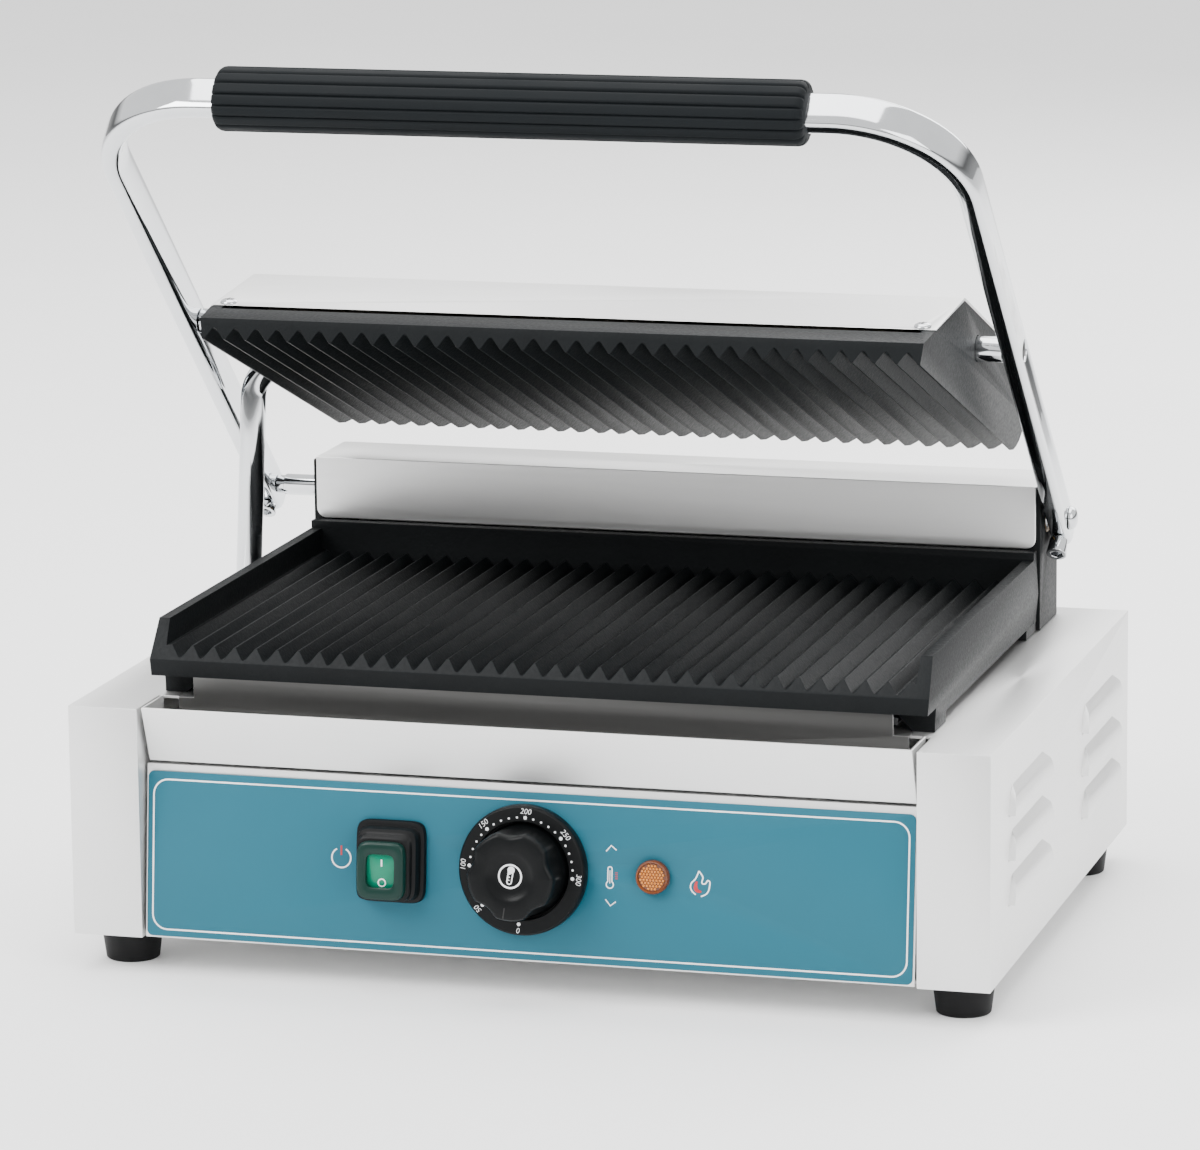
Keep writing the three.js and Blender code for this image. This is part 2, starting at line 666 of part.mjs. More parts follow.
function lowerPlateCasting() {
  const p = lowerPlate;
  const wallInner = p.topHalfWidth - p.wallThickness;
  const skirtInner = p.skirtHalfWidth - p.skirtThickness;
  const valley = p.tipZ - rib.depth;
  const section = outline([
    [p.skirtHalfWidth, p.skirtBottom], [p.halfWidth, p.widestZ], [p.topHalfWidth, p.wallTop],
    [wallInner, p.wallTop], [wallInner - 0.7, p.tipZ - 0.4],
    ...ribLine(p.grooves, p.ribbedHalfWidth, p.tipZ, valley),
    [-wallInner + 0.7, p.tipZ - 0.4], [-wallInner, p.wallTop],
    [-p.topHalfWidth, p.wallTop], [-p.halfWidth, p.widestZ], [-p.skirtHalfWidth, p.skirtBottom],
    [-skirtInner, p.skirtBottom], [-skirtInner, p.slabUnderside],
    [skirtInner, p.slabUnderside], [skirtInner, p.skirtBottom],
  ]);
  const rise = p.wallTop + 5 - p.widestZ;
  const slope = alongX(outline([
    [p.frontY - 5, p.widestZ], [p.frontY, p.widestZ],
    [p.frontY + rise * Math.tan(p.frontSlope), p.widestZ + rise], [p.frontY - 5, p.widestZ + rise],
  ]), -p.halfWidth - 5, p.halfWidth + 5);
  const shelf = housing.top + clearance;
  const inner = p.skirtHalfWidth - p.lugWidth;
  const lug = (side, y0) => alongY(outline([
    [inner + p.lugChamfer, shelf], [p.skirtHalfWidth, shelf], [p.skirtHalfWidth, p.slabUnderside + 1],
    [inner, p.slabUnderside + 1], [inner, shelf + p.lugChamfer],
  ].map(([x, z]) => [side * x, z])), y0, y0 + p.lugLength);
  return join(
    cut(alongY(section, p.frontY, p.backY), slope,
      box(-200, 200, p.frontY - 1, p.lugFrontY, p.skirtBottom - 5, p.frontUnderside)),
    box(-p.halfWidth + 1, p.halfWidth - 1, p.frontY, p.frontY + 7, p.frontUnderside, p.slabUnderside + 2),
    box(-p.topHalfWidth, p.topHalfWidth, p.backY - p.backWallThickness, p.backY, p.skirtBottom, p.backWallTop),
    lug(1, p.lugFrontY), lug(-1, p.lugFrontY), lug(1, p.backY - p.lugLength), lug(-1, p.backY - p.lugLength));
}

function pathThroughRuns(runs, radius, level) {
  // a serpentine of straight runs along Y, joined by half circles; runs are X positions
  const points = [];
  const near = runs.near;
  const far = runs.far;
  runs.x.forEach((x, index) => {
    const outward = index % 2 === 0;
    points.push(new THREE.Vector3(x, outward ? near : far, level));
    if (index < runs.x.length - 1) {
      const centreX = (x + runs.x[index + 1]) / 2;
      const turn = (runs.x[index + 1] - x) / 2;
      const end = outward ? far : near;
      const bulge = outward ? 1 : -1;
      for (let step = 0; step <= 4; step += 1) {
        const angle = Math.PI * (1 - step / 4);
        points.push(new THREE.Vector3(
          centreX + turn * Math.cos(angle), end + bulge * turn * Math.sin(angle) * radius, level));
      }
    } else {
      points.push(new THREE.Vector3(x, outward ? far : near, level));
    }
  });
  return points;
}

const heater = {
  radius: 3.6, near: 60, far: 214,
  x: [-1, -0.6, -0.2, 0.2, 0.6, 1].map((share) => share * (upperPlate.halfWidth - 21.2)),
};

function heaterCoil(near, far, level) {
  const runs = { x: heater.x, near, far };
  return swept(circleShape(heater.radius), pathThroughRuns(runs, 0.6, level), 3);
}

function lowerHeatShield() {
  const z = housing.top + 1.2;
  const half = lowerPlate.skirtHalfWidth - lowerPlate.lugWidth - 2;
  return join(
    box(-half, half, 44, 246, z, z + 0.8),
    box(-half, half, 44, 44.8, z, z + 3.4),
    box(-half, half, 245.2, 246, z, z + 3.4));
}

function thermostatBulb() {
  const z = lowerPlate.slabUnderside - clearance - 3;
  return rodY(3, 80, 170, 0, z, 16);
}

// ---- hinge -----------------------------------------------------------------------------------

function rearCoverBox() {
  const c = rearCover;
  const shell = cut(
    box(-c.halfWidth, c.halfWidth, c.frontY, c.backY, housing.top + clearance, c.topZ),
    box(-c.halfWidth - 1, c.halfWidth + 1, c.frontY + sheet, c.backY - sheet, housing.top - 1, c.topZ - sheet),
    box(-c.halfWidth - 1, c.halfWidth + 1, c.frontY - 1, c.frontY + 2 * sheet, housing.top - 1, c.bottomZ));
  const corner = (side) => cut(
    box(Math.min(side * (c.halfWidth - c.cornerRadius), side * (c.halfWidth + 1)),
      Math.max(side * (c.halfWidth - c.cornerRadius), side * (c.halfWidth + 1)),
      c.frontY - 1, c.frontY + 2 * sheet, c.bottomZ - 1, c.bottomZ + c.cornerRadius),
    rodY(c.cornerRadius, c.frontY - 2, c.frontY + 4,
      side * (c.halfWidth - c.cornerRadius), c.bottomZ + c.cornerRadius, 24));
  return cut(shell, corner(1), corner(-1));
}

function hingeBracket(side) {
  const y0 = rearCover.frontY + sheet + clearance;
  const y1 = rearCover.backY - sheet - clearance;
  const z0 = housing.top + clearance;
  const z1 = rearCover.topZ - sheet - clearance;
  const plate = box(
    Math.min(side * bracket.innerX, side * bracket.outerX),
    Math.max(side * bracket.innerX, side * bracket.outerX),
    y0, y1, z0, z1);
  const toe = box(
    Math.min(side * (bracket.innerX - 18), side * bracket.outerX),
    Math.max(side * (bracket.innerX - 18), side * bracket.outerX), y0, y1, z0, z0 + 7);
  const reach = bracket.outerX + 5;
  return cut(join(plate, toe), rodX(bracket.boreRadius, -reach, reach, hinge.y, hinge.z, 24));
}

function hingeBush(side) {
  const x0 = side > 0 ? bracket.outerX - bracket.bushLength : -bracket.outerX;
  return cut(
    rodX(hinge.bushRadius, x0, x0 + bracket.bushLength, hinge.y, hinge.z, 24),
    rodX(hinge.axleRadius + 0.1, x0 - 1, x0 + bracket.bushLength + 1, hinge.y, hinge.z, 24));
}

function torsionSpring(side) {
  const points = [];
  const pitch = 6;
  const perTurn = 8;
  const start = side > 0 ? bracket.innerX - 21 - hinge.springCoils * pitch : 13 - bracket.innerX;
  const radius = hinge.axleRadius + 4.2;
  for (let step = 0; step <= hinge.springCoils * perTurn; step += 1) {
    const angle = 2 * Math.PI * step / perTurn;
    points.push(new THREE.Vector3(
      start + pitch * step / perTurn, hinge.y + radius * Math.cos(angle), hinge.z + radius * Math.sin(angle)));
  }
  return swept(circleShape(hinge.springWire), points, 2);
}

// ---- arm, in armFrame --------------------------------------------------------------------------

const legSides = [[-1, bail.leftX], [1, bail.rightX]];
const innerFace = bail.sectionWidth / 2;

function legFace(side, x) {
  return x - side * innerFace;     // the face that looks at the plates
}

function hingeAxle() {
  const left = legFace(-1, bail.leftX) + clearance;
  const right = legFace(1, bail.rightX) - clearance;
  const shaft = join(
    rodX(hinge.axleRadius, left + hinge.neckLength, right, 0, 0, 20),
    rodX(hinge.neckRadius, left, left + hinge.neckLength + 1, 0, 0, 20));
  return cut(shaft, rodX(3.3, left - 1, left + 14, 0, 0, 12), rodX(3.3, right - 14, right + 1, 0, 0, 12));
}

function bailTube() {
  const { leftX, rightX, reach, bendRadius, pastHinge } = bail;
  const place = (x, y) => new THREE.Vector3(x, -y, 0);
  const bendY = reach - bendRadius;
  const points = [
    place(leftX, -pastHinge - 4),
    ...arcPoints([leftX + bendRadius, bendY], bendRadius, Math.PI, Math.PI / 2, 6, place),
    ...arcPoints([rightX - bendRadius, bendY], bendRadius, Math.PI / 2, 0, 6, place),
    place(rightX, -pastHinge - 4),
  ];
  // the sweep lays the outline's first axis square to the bail's plane
  const tube = (shrink) => swept(
    roundedOutline(
      0, 0, bail.sectionDepth - 2 * shrink, bail.sectionWidth - 2 * shrink, bail.sectionRadius - shrink),
    points, 1);
  let body = cut(tube(0), tube(bail.wall));
  for (const [side, x] of legSides) {
    const roundEnd = cut(
      box(x - 10, x + 10, 0, pastHinge + 20, -20, 20),
      rodX(pastHinge, x - 11, x + 11, 0, 0, 28));
    const outerX = x + side * innerFace;
    body = cut(
      body, roundEnd,
      rodX(hinge.boltBore, x - 10, x + 10, 0, 0, 12),
      rodX(pivotPin.studRadius + clearance, Math.min(x, x - side * 10), Math.max(x, x - side * 10),
        -bail.pivotReach, 0, 16),
      rodX(5.2, Math.min(x, outerX + side * 3), Math.max(x, outerX + side * 3), -bail.pivotReach, 0, 20));
  }
  return body;
}

function gripSleeve() {
  const centreX = (bail.leftX + bail.rightX) / 2;
  const ring = (shrink, from, to) => {
    const shape = new THREE.Shape();
    const steps = grip.flutes * 2;
    for (let step = 0; step < steps; step += 1) {
      const angle = 2 * Math.PI * step / steps;
      const flute = step % 2 === 0 ? grip.fluteDepth : 0;
      const a = (grip.halfThickness - flute - shrink) * Math.cos(angle);
      const b = (grip.halfHeight - flute - shrink) * Math.sin(angle);
      if (step === 0) {
        shape.moveTo(-bail.reach + a, b);
      } else {
        shape.lineTo(-bail.reach + a, b);
      }
    }
    shape.closePath();
    return alongX(shape, centreX + from, centreX + to);
  };
  const half = (bail.rightX - bail.leftX) / 2 - grip.shortOfLegs;
  const bore = alongX(
    roundedOutline(
      -bail.reach, 0,
      bail.sectionWidth + 2 * clearance, bail.sectionDepth + 2 * clearance, bail.sectionRadius),
    centreX - half - 1, centreX + half + 1);
  return cut(
    join(ring(0, -half + grip.endBevel, half - grip.endBevel), ring(grip.endBevel * 0.6, -half, half)),
    bore);
}

function hingeBolt(side, x) {
  const outerX = x + side * innerFace;
  const headBase = outerX + side * clearance;
  const headTop = headBase + side * 3.6;
  const shankEnd = legFace(side, x) - side * 11;
  return join(
    rodX(side > 0 ? 5.6 : 2.6, Math.min(headBase, headTop), Math.max(headBase, headTop), 0, 0, 20,
      side > 0 ? 2.6 : 5.6),
    rodX(2.9, Math.min(shankEnd, headBase + side), Math.max(shankEnd, headBase + side), 0, 0, 12));
}

function stopScrew(x, length) {
  const top = -bail.sectionDepth / 2 - clearance;
  return cut(
    rodZ(4.9, top - length, top, x, 5, 20, 4.3),
    rodZ(2.9, top - length - 1, top - 0.5 * length, x, 5, 6));
}

function pivotPinBody(side, x) {
  const shoulder = legFace(side, x) - side * clearance;
  const tip = side * (upperPlate.halfWidth - pivotPin.insidePlate);
  const studEnd = x - side * 1;
  return join(
    rodX(pivotPin.radius, Math.min(shoulder, tip), Math.max(shoulder, tip), -bail.pivotReach, 0, 24),
    rodX(pivotPin.studRadius, Math.min(studEnd, tip), Math.max(studEnd, tip), -bail.pivotReach, 0, 16));
}

// ---- upper plate, in plateFrame ------------------------------------------------------------------

// (u, v) run from the front rib tip, along the ribs and square to them
function uv(u, v) {
  return [u - upperPlate.pivotU, v - upperPlate.pivotV];
}

const coverGap = sheet + clearance;

function upperCasting() {
  const p = upperPlate;
  const half = p.halfWidth;
  const gable = outline([
    uv(0, 0), ...p.backRound.map(([u, v]) => uv(u, v)), uv(p.depth, p.backLowV), uv(p.depth - 1, p.coverLowV),
    uv(p.depth - 2, p.coverLowV), uv(p.depth - 2 - coverGap, p.ridgeV - coverGap - 10),
    uv(p.backEdgeU - 1, p.ridgeV - coverGap),
    uv(p.ridgeU + 0.2, p.ridgeV - coverGap),
    uv(p.coverLowU + 1.4, p.coverLowV - clearance), uv(p.coverLowU, p.coverLowV - clearance),
    uv(-1.5, p.frontTopV),
  ]);
  const inner = half - p.endWall;
  const cavity = alongX(outline([
    uv(p.frontLip, p.slabTop), uv(p.depth - p.backLip, p.slabTop),
    uv(p.depth - p.backLip, p.ridgeV + 5), uv(p.frontLip, p.ridgeV + 5),
  ]), -inner, inner);
  const aboveLip = alongX(outline([
    uv(-10, p.coverLowV - clearance), uv(p.depth + 10, p.coverLowV - clearance),
    uv(p.depth + 10, p.ridgeV + 5), uv(-10, p.ridgeV + 5),
  ]), -inner, inner);
  const ribLineLow = ribLine(p.grooves, half + 20, 0, rib.depth);
  const grooveCut = alongY(
    outline([
      ...ribLineLow.map(([x, v]) => [x, v - p.pivotV]),
      [-half - 20, -20 - p.pivotV], [half + 20, -20 - p.pivotV],
    ]),
    -p.pivotU - 5, p.depth - p.pivotU + 5);
  const draft = (side) => alongY(
    outline([
      [side * (half + 0.01), p.coverLowV - p.pivotV], [side * (half + 10), p.coverLowV - p.pivotV],
      [side * (half + 10), -5 - p.pivotV], [side * (half - p.endDraft), -5 - p.pivotV],
      [side * (half - p.endDraft), -p.pivotV],
    ]), -p.pivotU - 10, p.depth - p.pivotU + 10);
  let body = cut(alongX(gable, -half, half), cavity, aboveLip, grooveCut, draft(1), draft(-1));
  for (const side of [-1, 1]) {
    const bossInner = side * (half - pivotPin.insidePlate - 2);
    body = join(body, rodX(pivotPin.radius + 5, Math.min(bossInner, side * (half - 2)),
      Math.max(bossInner, side * (half - 2)), 0, 0, 24));
    body = cut(body, rodX(pivotPin.radius + pivotPin.running, Math.min(0, side * (half + 2)),
      Math.max(0, side * (half + 2)), 0, 0, 24));
  }
  return cut(body, coverHole(1), coverHole(-1),
    rodX(
      conduit.radius + clearance, -half - 2, -half + p.endWall + 2,
      conduit.fromPivotU, conduit.fromPivotV, 20));
}

function upperCover() {
  const p = upperPlate;
  const half = p.halfWidth;
  const skin = outline([
    uv(p.coverLowU, p.coverLowV), uv(p.ridgeU, p.ridgeV), uv(p.backEdgeU, p.ridgeV),
    uv(p.depth - 2, p.ridgeV - 10), uv(p.depth - 0.4, p.coverLowV + 1),
    uv(p.depth - 0.4 - sheet, p.coverLowV + 1), uv(p.depth - 2 - sheet, p.ridgeV - 10 - 0.4 * sheet),
    uv(p.backEdgeU - 0.4 * sheet, p.ridgeV - sheet), uv(p.ridgeU + 0.3 * sheet, p.ridgeV - sheet),
    uv(p.coverLowU + 0.6 * sheet, p.coverLowV - 0.05),
  ]);
  const screwHoles = [-1, 1].map((side) => coverHole(side));
  return cut(alongX(skin, -half, half), ...screwHoles);
}

// a short rod square to the cover's slanted front, at one of its two front screws
function coverScrewPlace(side, radius, length, headRadius = radius) {
  const p = upperPlate;
  const slope = Math.atan2(p.ridgeV - p.coverLowV, p.ridgeU - p.coverLowU);
  const along = 4.5;
  const geometry = new THREE.CylinderGeometry(headRadius, radius, length, 16);
  geometry.rotateX(Math.PI / 2 + slope);
  const [y, z] = uv(p.coverLowU + along * Math.cos(slope), p.coverLowV + along * Math.sin(slope));
  geometry.translate(side * (p.halfWidth - p.screwInset), y, z);
  return { geometry, slope };
}

function coverHole(side) {
  return solid(coverScrewPlace(side, 1.9, 8).geometry);
}

function coverScrew(side) {
  const head = coverScrewPlace(side, 3.9, 2, 2.9);
  const lift = 1.3;
  head.geometry.translate(0, -lift * Math.sin(head.slope), lift * Math.cos(head.slope));
  const shank = coverScrewPlace(side, 1.6, 4);
  return join(solid(head.geometry), solid(shank.geometry));
}

function upperHeater() {
  const near = 46 - upperPlate.pivotU;
  const far = 186 - upperPlate.pivotU;
  return heaterCoil(near, far, upperPlate.slabTop - upperPlate.pivotV + heater.radius + clearance);
}

function upperInsulation() {
  const p = upperPlate;
  const low = p.slabTop + 2 * heater.radius + 2 * clearance;
  const half = p.halfWidth - p.endWall - pivotPin.insidePlate - 4;
  return alongX(outline([
    uv(36, low), uv(p.depth - p.backLip - 4, low), uv(p.depth - p.backLip - 4, p.ridgeV - 12),
    uv(p.backEdgeU - 3, p.ridgeV - 4), uv(p.ridgeU + 4, p.ridgeV - 4),
  ]), -half, half);
}

// wiring tube: out of the plate's left end, round an elbow and down through the shelf
function conduitPath() {
  const { x, bendRadius, rake, drop, fromPivotU, fromPivotV } = conduit;
  const down = new THREE.Vector3(0, Math.sin(rake), -Math.cos(rake));
  const start = new THREE.Vector3(0, fromPivotU, fromPivotV);
  const at = (worldX, along) => start.clone().setX(worldX).addScaledVector(down, along);
  const points = [at(-upperPlate.halfWidth + 3, 0)];
  for (let step = 0; step <= 6; step += 1) {
    const angle = Math.PI / 2 * step / 6;
    points.push(at(x + bendRadius * (1 - Math.sin(angle)), bendRadius * (1 - Math.cos(angle))));
  }
  points.push(at(x, drop));
  return points;
}

function conduitTube() {
  const points = conduitPath();
  return cut(
    swept(circleShape(conduit.radius), points, 7),
    swept(circleShape(conduit.radius - conduit.wall), points, 4));
}

function conduitNut() {
  const end = -upperPlate.halfWidth - clearance;
  return cut(
    rodX(9.4, end - 4, end, conduit.fromPivotU, conduit.fromPivotV, 6),
    rodX(conduit.radius + clearance, end - 8, end + 1, conduit.fromPivotU, conduit.fromPivotV, 20));
}

// ---- electrical pieces in the housing ------------------------------------------------------------

const gland = { x: housing.width / 2 - 65, z: 50, radius: 7, length: 12 };

function cordGland() {
  const back = housing.depth + clearance;
  return cut(
    join(
      rodY(gland.radius + 3, back, back + 4, gland.x, gland.z, 6),
      rodY(gland.radius, back - 12, back + gland.length, gland.x, gland.z, 20, gland.radius - 1.6)),
    rodY(4, back - 14, back + gland.length + 1, gland.x, gland.z, 16));
}

function terminalBlock() {
  const z0 = housing.bottom + 2 * sheet + 2 * clearance;
  let body = box(gland.x - 40, gland.x + 20, 252, 270, z0, z0 + 16);
  for (let way = 0; way < 5; way += 1) {
    body = cut(body, rodZ(2.4, z0 + 8, z0 + 20, gland.x - 34 + way * 12, 261, 10));
  }
  return body;
}

// ---- the assembly --------------------------------------------------------------------------------

for (const side of [-1, 1]) {
  add(grill, mirrorName(side, 'side_panel'), sidePanel(side), stainless);
  add(grill, mirrorName(side, 'hinge_bracket'), hingeBracket(side), castIron);
  add(grill, mirrorName(side, 'hinge_bush'), hingeBush(side), bronze);
  add(grill, mirrorName(side, 'torsion_spring'), torsionSpring(side), steel);
}
add(grill, 'deck', deck(), stainless);
add(grill, 'back_panel', backPanel(), stainless);
add(grill, 'base_plate', basePlate(), stainless);
add(grill, 'drip_tray', dripTray(), stainless);
add(grill, 'lower_plate', lowerPlateCasting(), castIron);
add(grill, 'lower_heater', heaterCoil(heater.near, heater.far,
  lowerPlate.slabUnderside - clearance - heater.radius), heaterMetal);
add(grill, 'lower_heat_shield', lowerHeatShield(), steel);
add(grill, 'thermostat_bulb', thermostatBulb(), bronze);
add(grill, 'rear_cover', rearCoverBox(), stainless);
add(grill, 'conduit_grommet', conduitGrommet(), blackRubber);
add(grill, 'cord_gland', cordGland(), blackPlastic);
add(grill, 'terminal_block', terminalBlock(), nylon);

for (const [front, y] of [['front', foot.inFromFront], ['rear', housing.depth - foot.inFromBack]]) {
  for (const side of [-1, 1]) {
    const x = side * (halfWidth - foot.inFromSide);
    add(grill, `${front}_${mirrorName(side, 'foot')}`, rubberFoot(x, y), blackRubber);
    add(grill, `${front}_${mirrorName(side, 'foot_screw')}`, footScrew(x, y), steel);
  }
}

add(panelFrame, 'control_panel', controlPanel(), stainless);
add(panelFrame, 'panel_overlay', panelOverlay(), overlayBlue);
add(panelFrame, 'dial_ring', dialRing(), blackPlastic);
add(panelFrame, 'knob', knob(), blackPlastic);
add(panelFrame, 'thermostat_shaft', thermostatShaft(), steel);
add(panelFrame, 'thermostat_body', thermostatBody(), steel);
add(panelFrame, 'switch_bezel', switchBezel(), blackRubber);
add(panelFrame, 'switch_body', switchBody(), blackPlastic);
add(panelFrame, 'switch_rocker', switchRocker(), greenPlastic);
add(panelFrame, 'switch_boot', switchBoot(), darkGreen);
add(panelFrame, 'lamp_lens', lampLens(), amber);
add(panelFrame, 'lamp_body', lampBody(), nylon);

add(armFrame, 'hinge_axle', hingeAxle(), chrome);
add(armFrame, 'bail', bailTube(), chrome);
add(armFrame, 'grip', gripSleeve(), gripPlastic);
for (const [side, x] of legSides) {
  add(armFrame, mirrorName(side, 'hinge_bolt'), hingeBolt(side, x), chrome);
  add(armFrame, mirrorName(side, 'stop_screw'), stopScrew(x, side > 0 ? 8.4 : 4.6), chrome);
  add(armFrame, mirrorName(side, 'pivot_pin'), pivotPinBody(side, x), chrome);
}

add(plateFrame, 'upper_plate', upperCasting(), castIron);
add(plateFrame, 'upper_cover', upperCover(), stainless);
for (const side of [-1, 1]) {
  add(plateFrame, mirrorName(side, 'cover_screw'), coverScrew(side), chrome);
}
add(plateFrame, 'upper_heater', upperHeater(), heaterMetal);
add(plateFrame, 'upper_insulation', upperInsulation(), mineralWool);
add(plateFrame, 'conduit_tube', conduitTube(), chrome);
add(plateFrame, 'conduit_nut', conduitNut(), chrome);

// origin at the middle of the underside of the box round the whole grill
grill.updateMatrixWorld(true);
const bounds = new THREE.Box3().setFromObject(grill, true);
const middle = bounds.getCenter(new THREE.Vector3());
grill.position.set(-middle.x, -middle.y, -bounds.min.z);

export default grill;
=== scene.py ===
import json
import math

import bmesh
import bpy
from mathutils import Matrix, Vector


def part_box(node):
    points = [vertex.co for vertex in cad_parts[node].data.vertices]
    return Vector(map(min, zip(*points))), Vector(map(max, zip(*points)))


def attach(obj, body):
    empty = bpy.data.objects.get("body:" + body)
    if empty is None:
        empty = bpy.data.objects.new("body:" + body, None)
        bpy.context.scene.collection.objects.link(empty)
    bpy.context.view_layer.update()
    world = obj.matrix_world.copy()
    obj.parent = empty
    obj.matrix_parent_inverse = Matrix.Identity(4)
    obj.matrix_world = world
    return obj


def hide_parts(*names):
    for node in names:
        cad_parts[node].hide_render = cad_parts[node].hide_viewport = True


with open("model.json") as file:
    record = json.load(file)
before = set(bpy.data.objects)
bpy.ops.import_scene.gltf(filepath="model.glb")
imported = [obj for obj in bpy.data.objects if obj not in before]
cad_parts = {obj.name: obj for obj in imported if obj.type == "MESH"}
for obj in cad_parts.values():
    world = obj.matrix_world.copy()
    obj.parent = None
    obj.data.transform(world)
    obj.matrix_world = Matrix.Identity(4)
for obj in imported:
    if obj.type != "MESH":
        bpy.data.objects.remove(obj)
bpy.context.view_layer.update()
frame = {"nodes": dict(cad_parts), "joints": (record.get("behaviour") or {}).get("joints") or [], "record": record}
mm = 0.001
joints = {joint["name"]: joint for joint in frame["joints"]}
nodeBody = {node: body for body, nodes in frame["record"]["behaviour"]["bodies"].items() for node in nodes}
print("frame loaded")


# camera and light

camera = {
    "lens": 176.84,
    "target": (10.835, -52.56, 175.46),  # mm, in the grill's own frame
    "distance": 2712.46,
    "turn": 16.07,
    "height": 11.63,
    "roll": -0.61,
}


def placeCamera():
    turn, height, roll = (math.radians(camera[key]) for key in ("turn", "height", "roll"))
    back = Vector((math.sin(turn) * math.cos(height), -math.cos(turn) * math.cos(height), math.sin(height)))
    side = (-back).cross(Vector((0, 0, 1))).normalized()
    up = side.cross(-back)
    right = math.cos(roll) * side + math.sin(roll) * up
    top = -math.sin(roll) * side + math.cos(roll) * up
    data = bpy.data.cameras.new("camera")
    data.sensor_width = 36
    data.lens = camera["lens"]
    data.clip_end = 50
    holder = bpy.data.objects.new("camera", data)
    place = (Vector(camera["target"]) + camera["distance"] * back) * mm
    holder.matrix_world = Matrix.Translation(place) @ Matrix((right, top, back)).transposed().to_4x4()
    bpy.context.scene.collection.objects.link(holder)
    bpy.context.scene.camera = holder


studio = {
    "sky": ((0.0, 0.32), (0.10, 0.12), (0.22, 1.0), (1.0, 1.0)),  # share of the way up, brightness
    "strength": 1.5,
    "aim": (0, 0, 0.15),
    "lamps": {  # place, size in metres, power in watts
        "keyLight": ((-1.5, -1.7, 2.1), 1.6, 88),
        "fillLight": ((2.2, -1.4, 1.3), 1.6, 34),
        "topLight": ((0.0, 0.3, 2.4), 2.2, 72),
        "rearLight": ((0.6, 2.2, 1.5), 1.6, 44),
    },
}


def lightStudio():
    world = bpy.data.worlds.new("studio")
    bpy.context.scene.world = world
    world.use_nodes = True
    tree = world.node_tree
    place = tree.nodes.new("ShaderNodeTexCoord")
    parts = tree.nodes.new("ShaderNodeSeparateXYZ")
    ramp = tree.nodes.new("ShaderNodeValToRGB")
    steps = ramp.color_ramp.elements
    for index, (share, value) in enumerate(studio["sky"]):
        step = steps[index] if index < 2 else steps.new(share)  # a new ramp has two steps already
        step.position = share
        step.color = (value, value, value, 1)
    tree.nodes["Background"].inputs["Strength"].default_value = studio["strength"]
    tree.links.new(place.outputs["Generated"], parts.inputs["Vector"])
    tree.links.new(parts.outputs["Z"], ramp.inputs["Fac"])
    tree.links.new(ramp.outputs["Color"], tree.nodes["Background"].inputs["Color"])
    for name, (place, size, power) in studio["lamps"].items():
        data = bpy.data.lights.new(name, "AREA")
        data.shape = "SQUARE"
        data.size = size
        data.energy = power
        lamp = bpy.data.objects.new(name, data)
        aim = Vector(studio["aim"]) - Vector(place)
        lamp.matrix_world = Matrix.Translation(place) @ aim.to_track_quat("-Z", "Y").to_matrix().to_4x4()
        bpy.context.scene.collection.objects.link(lamp)


# materials

# a material being built, with the few node patterns the grill needs
class Finish:
    def __init__(self, name, colour, metallic=0.0, roughness=0.5, **sockets):
        self.material = bpy.data.materials.new(name)
        self.material.use_nodes = True
        self.tree = self.material.node_tree
        self.shader = self.tree.nodes["Principled BSDF"]
        self.shader.inputs["Base Color"].default_value = (*colour, 1)
        self.shader.inputs["Metallic"].default_value = metallic
        self.shader.inputs["Roughness"].default_value = roughness
        for socket, value in sockets.items():
            self.shader.inputs[socket.replace("_", " ")].default_value = value
        self.colour = colour

    def node(self, kind, **settings):
        made = self.tree.nodes.new(kind)
        for key, value in settings.items():
            setattr(made, key, value)
        return made

    def noise(self, scale, stretch=(1, 1, 1), detail=3.0, roughness=0.55):
        place = self.node("ShaderNodeTexCoord")
        mapping = self.node("ShaderNodeMapping")
        mapping.inputs["Scale"].default_value = stretch
        noise = self.node("ShaderNodeTexNoise")
        noise.inputs["Scale"].default_value = scale
        noise.inputs["Detail"].default_value = detail
        noise.inputs["Roughness"].default_value = roughness
        self.tree.links.new(place.outputs["Object"], mapping.inputs["Vector"])
        self.tree.links.new(mapping.outputs["Vector"], noise.inputs["Vector"])
        return noise.outputs["Fac"]

    def rough(self, source, low, high):
        band = self.node("ShaderNodeMapRange")
        ends = {"From Min": 0.3, "From Max": 0.7, "To Min": low, "To Max": high}  # most noise lies between
        for socket, value in ends.items():
            band.inputs[socket].default_value = value
        self.tree.links.new(source, band.inputs["Value"])
        self.tree.links.new(band.outputs["Result"], self.shader.inputs["Roughness"])

    def tint(self, source, dark, light):
        ramp = self.node("ShaderNodeValToRGB")
        ramp.color_ramp.elements[0].position = 0.32
        ramp.color_ramp.elements[1].position = 0.68
        ramp.color_ramp.elements[0].color = (*[dark * c for c in self.colour], 1)
        ramp.color_ramp.elements[1].color = (*[light * c for c in self.colour], 1)
        self.tree.links.new(source, ramp.inputs["Fac"])
        self.tree.links.new(ramp.outputs["Color"], self.shader.inputs["Base Color"])

    def bump(self, *layers):
        normal = None
        for source, strength, distance in layers:
            bump = self.node("ShaderNodeBump")
            bump.inputs["Strength"].default_value = strength
            bump.inputs["Distance"].default_value = distance
            self.tree.links.new(source, bump.inputs["Height"])
            if normal:
                self.tree.links.new(normal, bump.inputs["Normal"])
            normal = bump.outputs["Normal"]
        self.tree.links.new(normal, self.shader.inputs["Normal"])


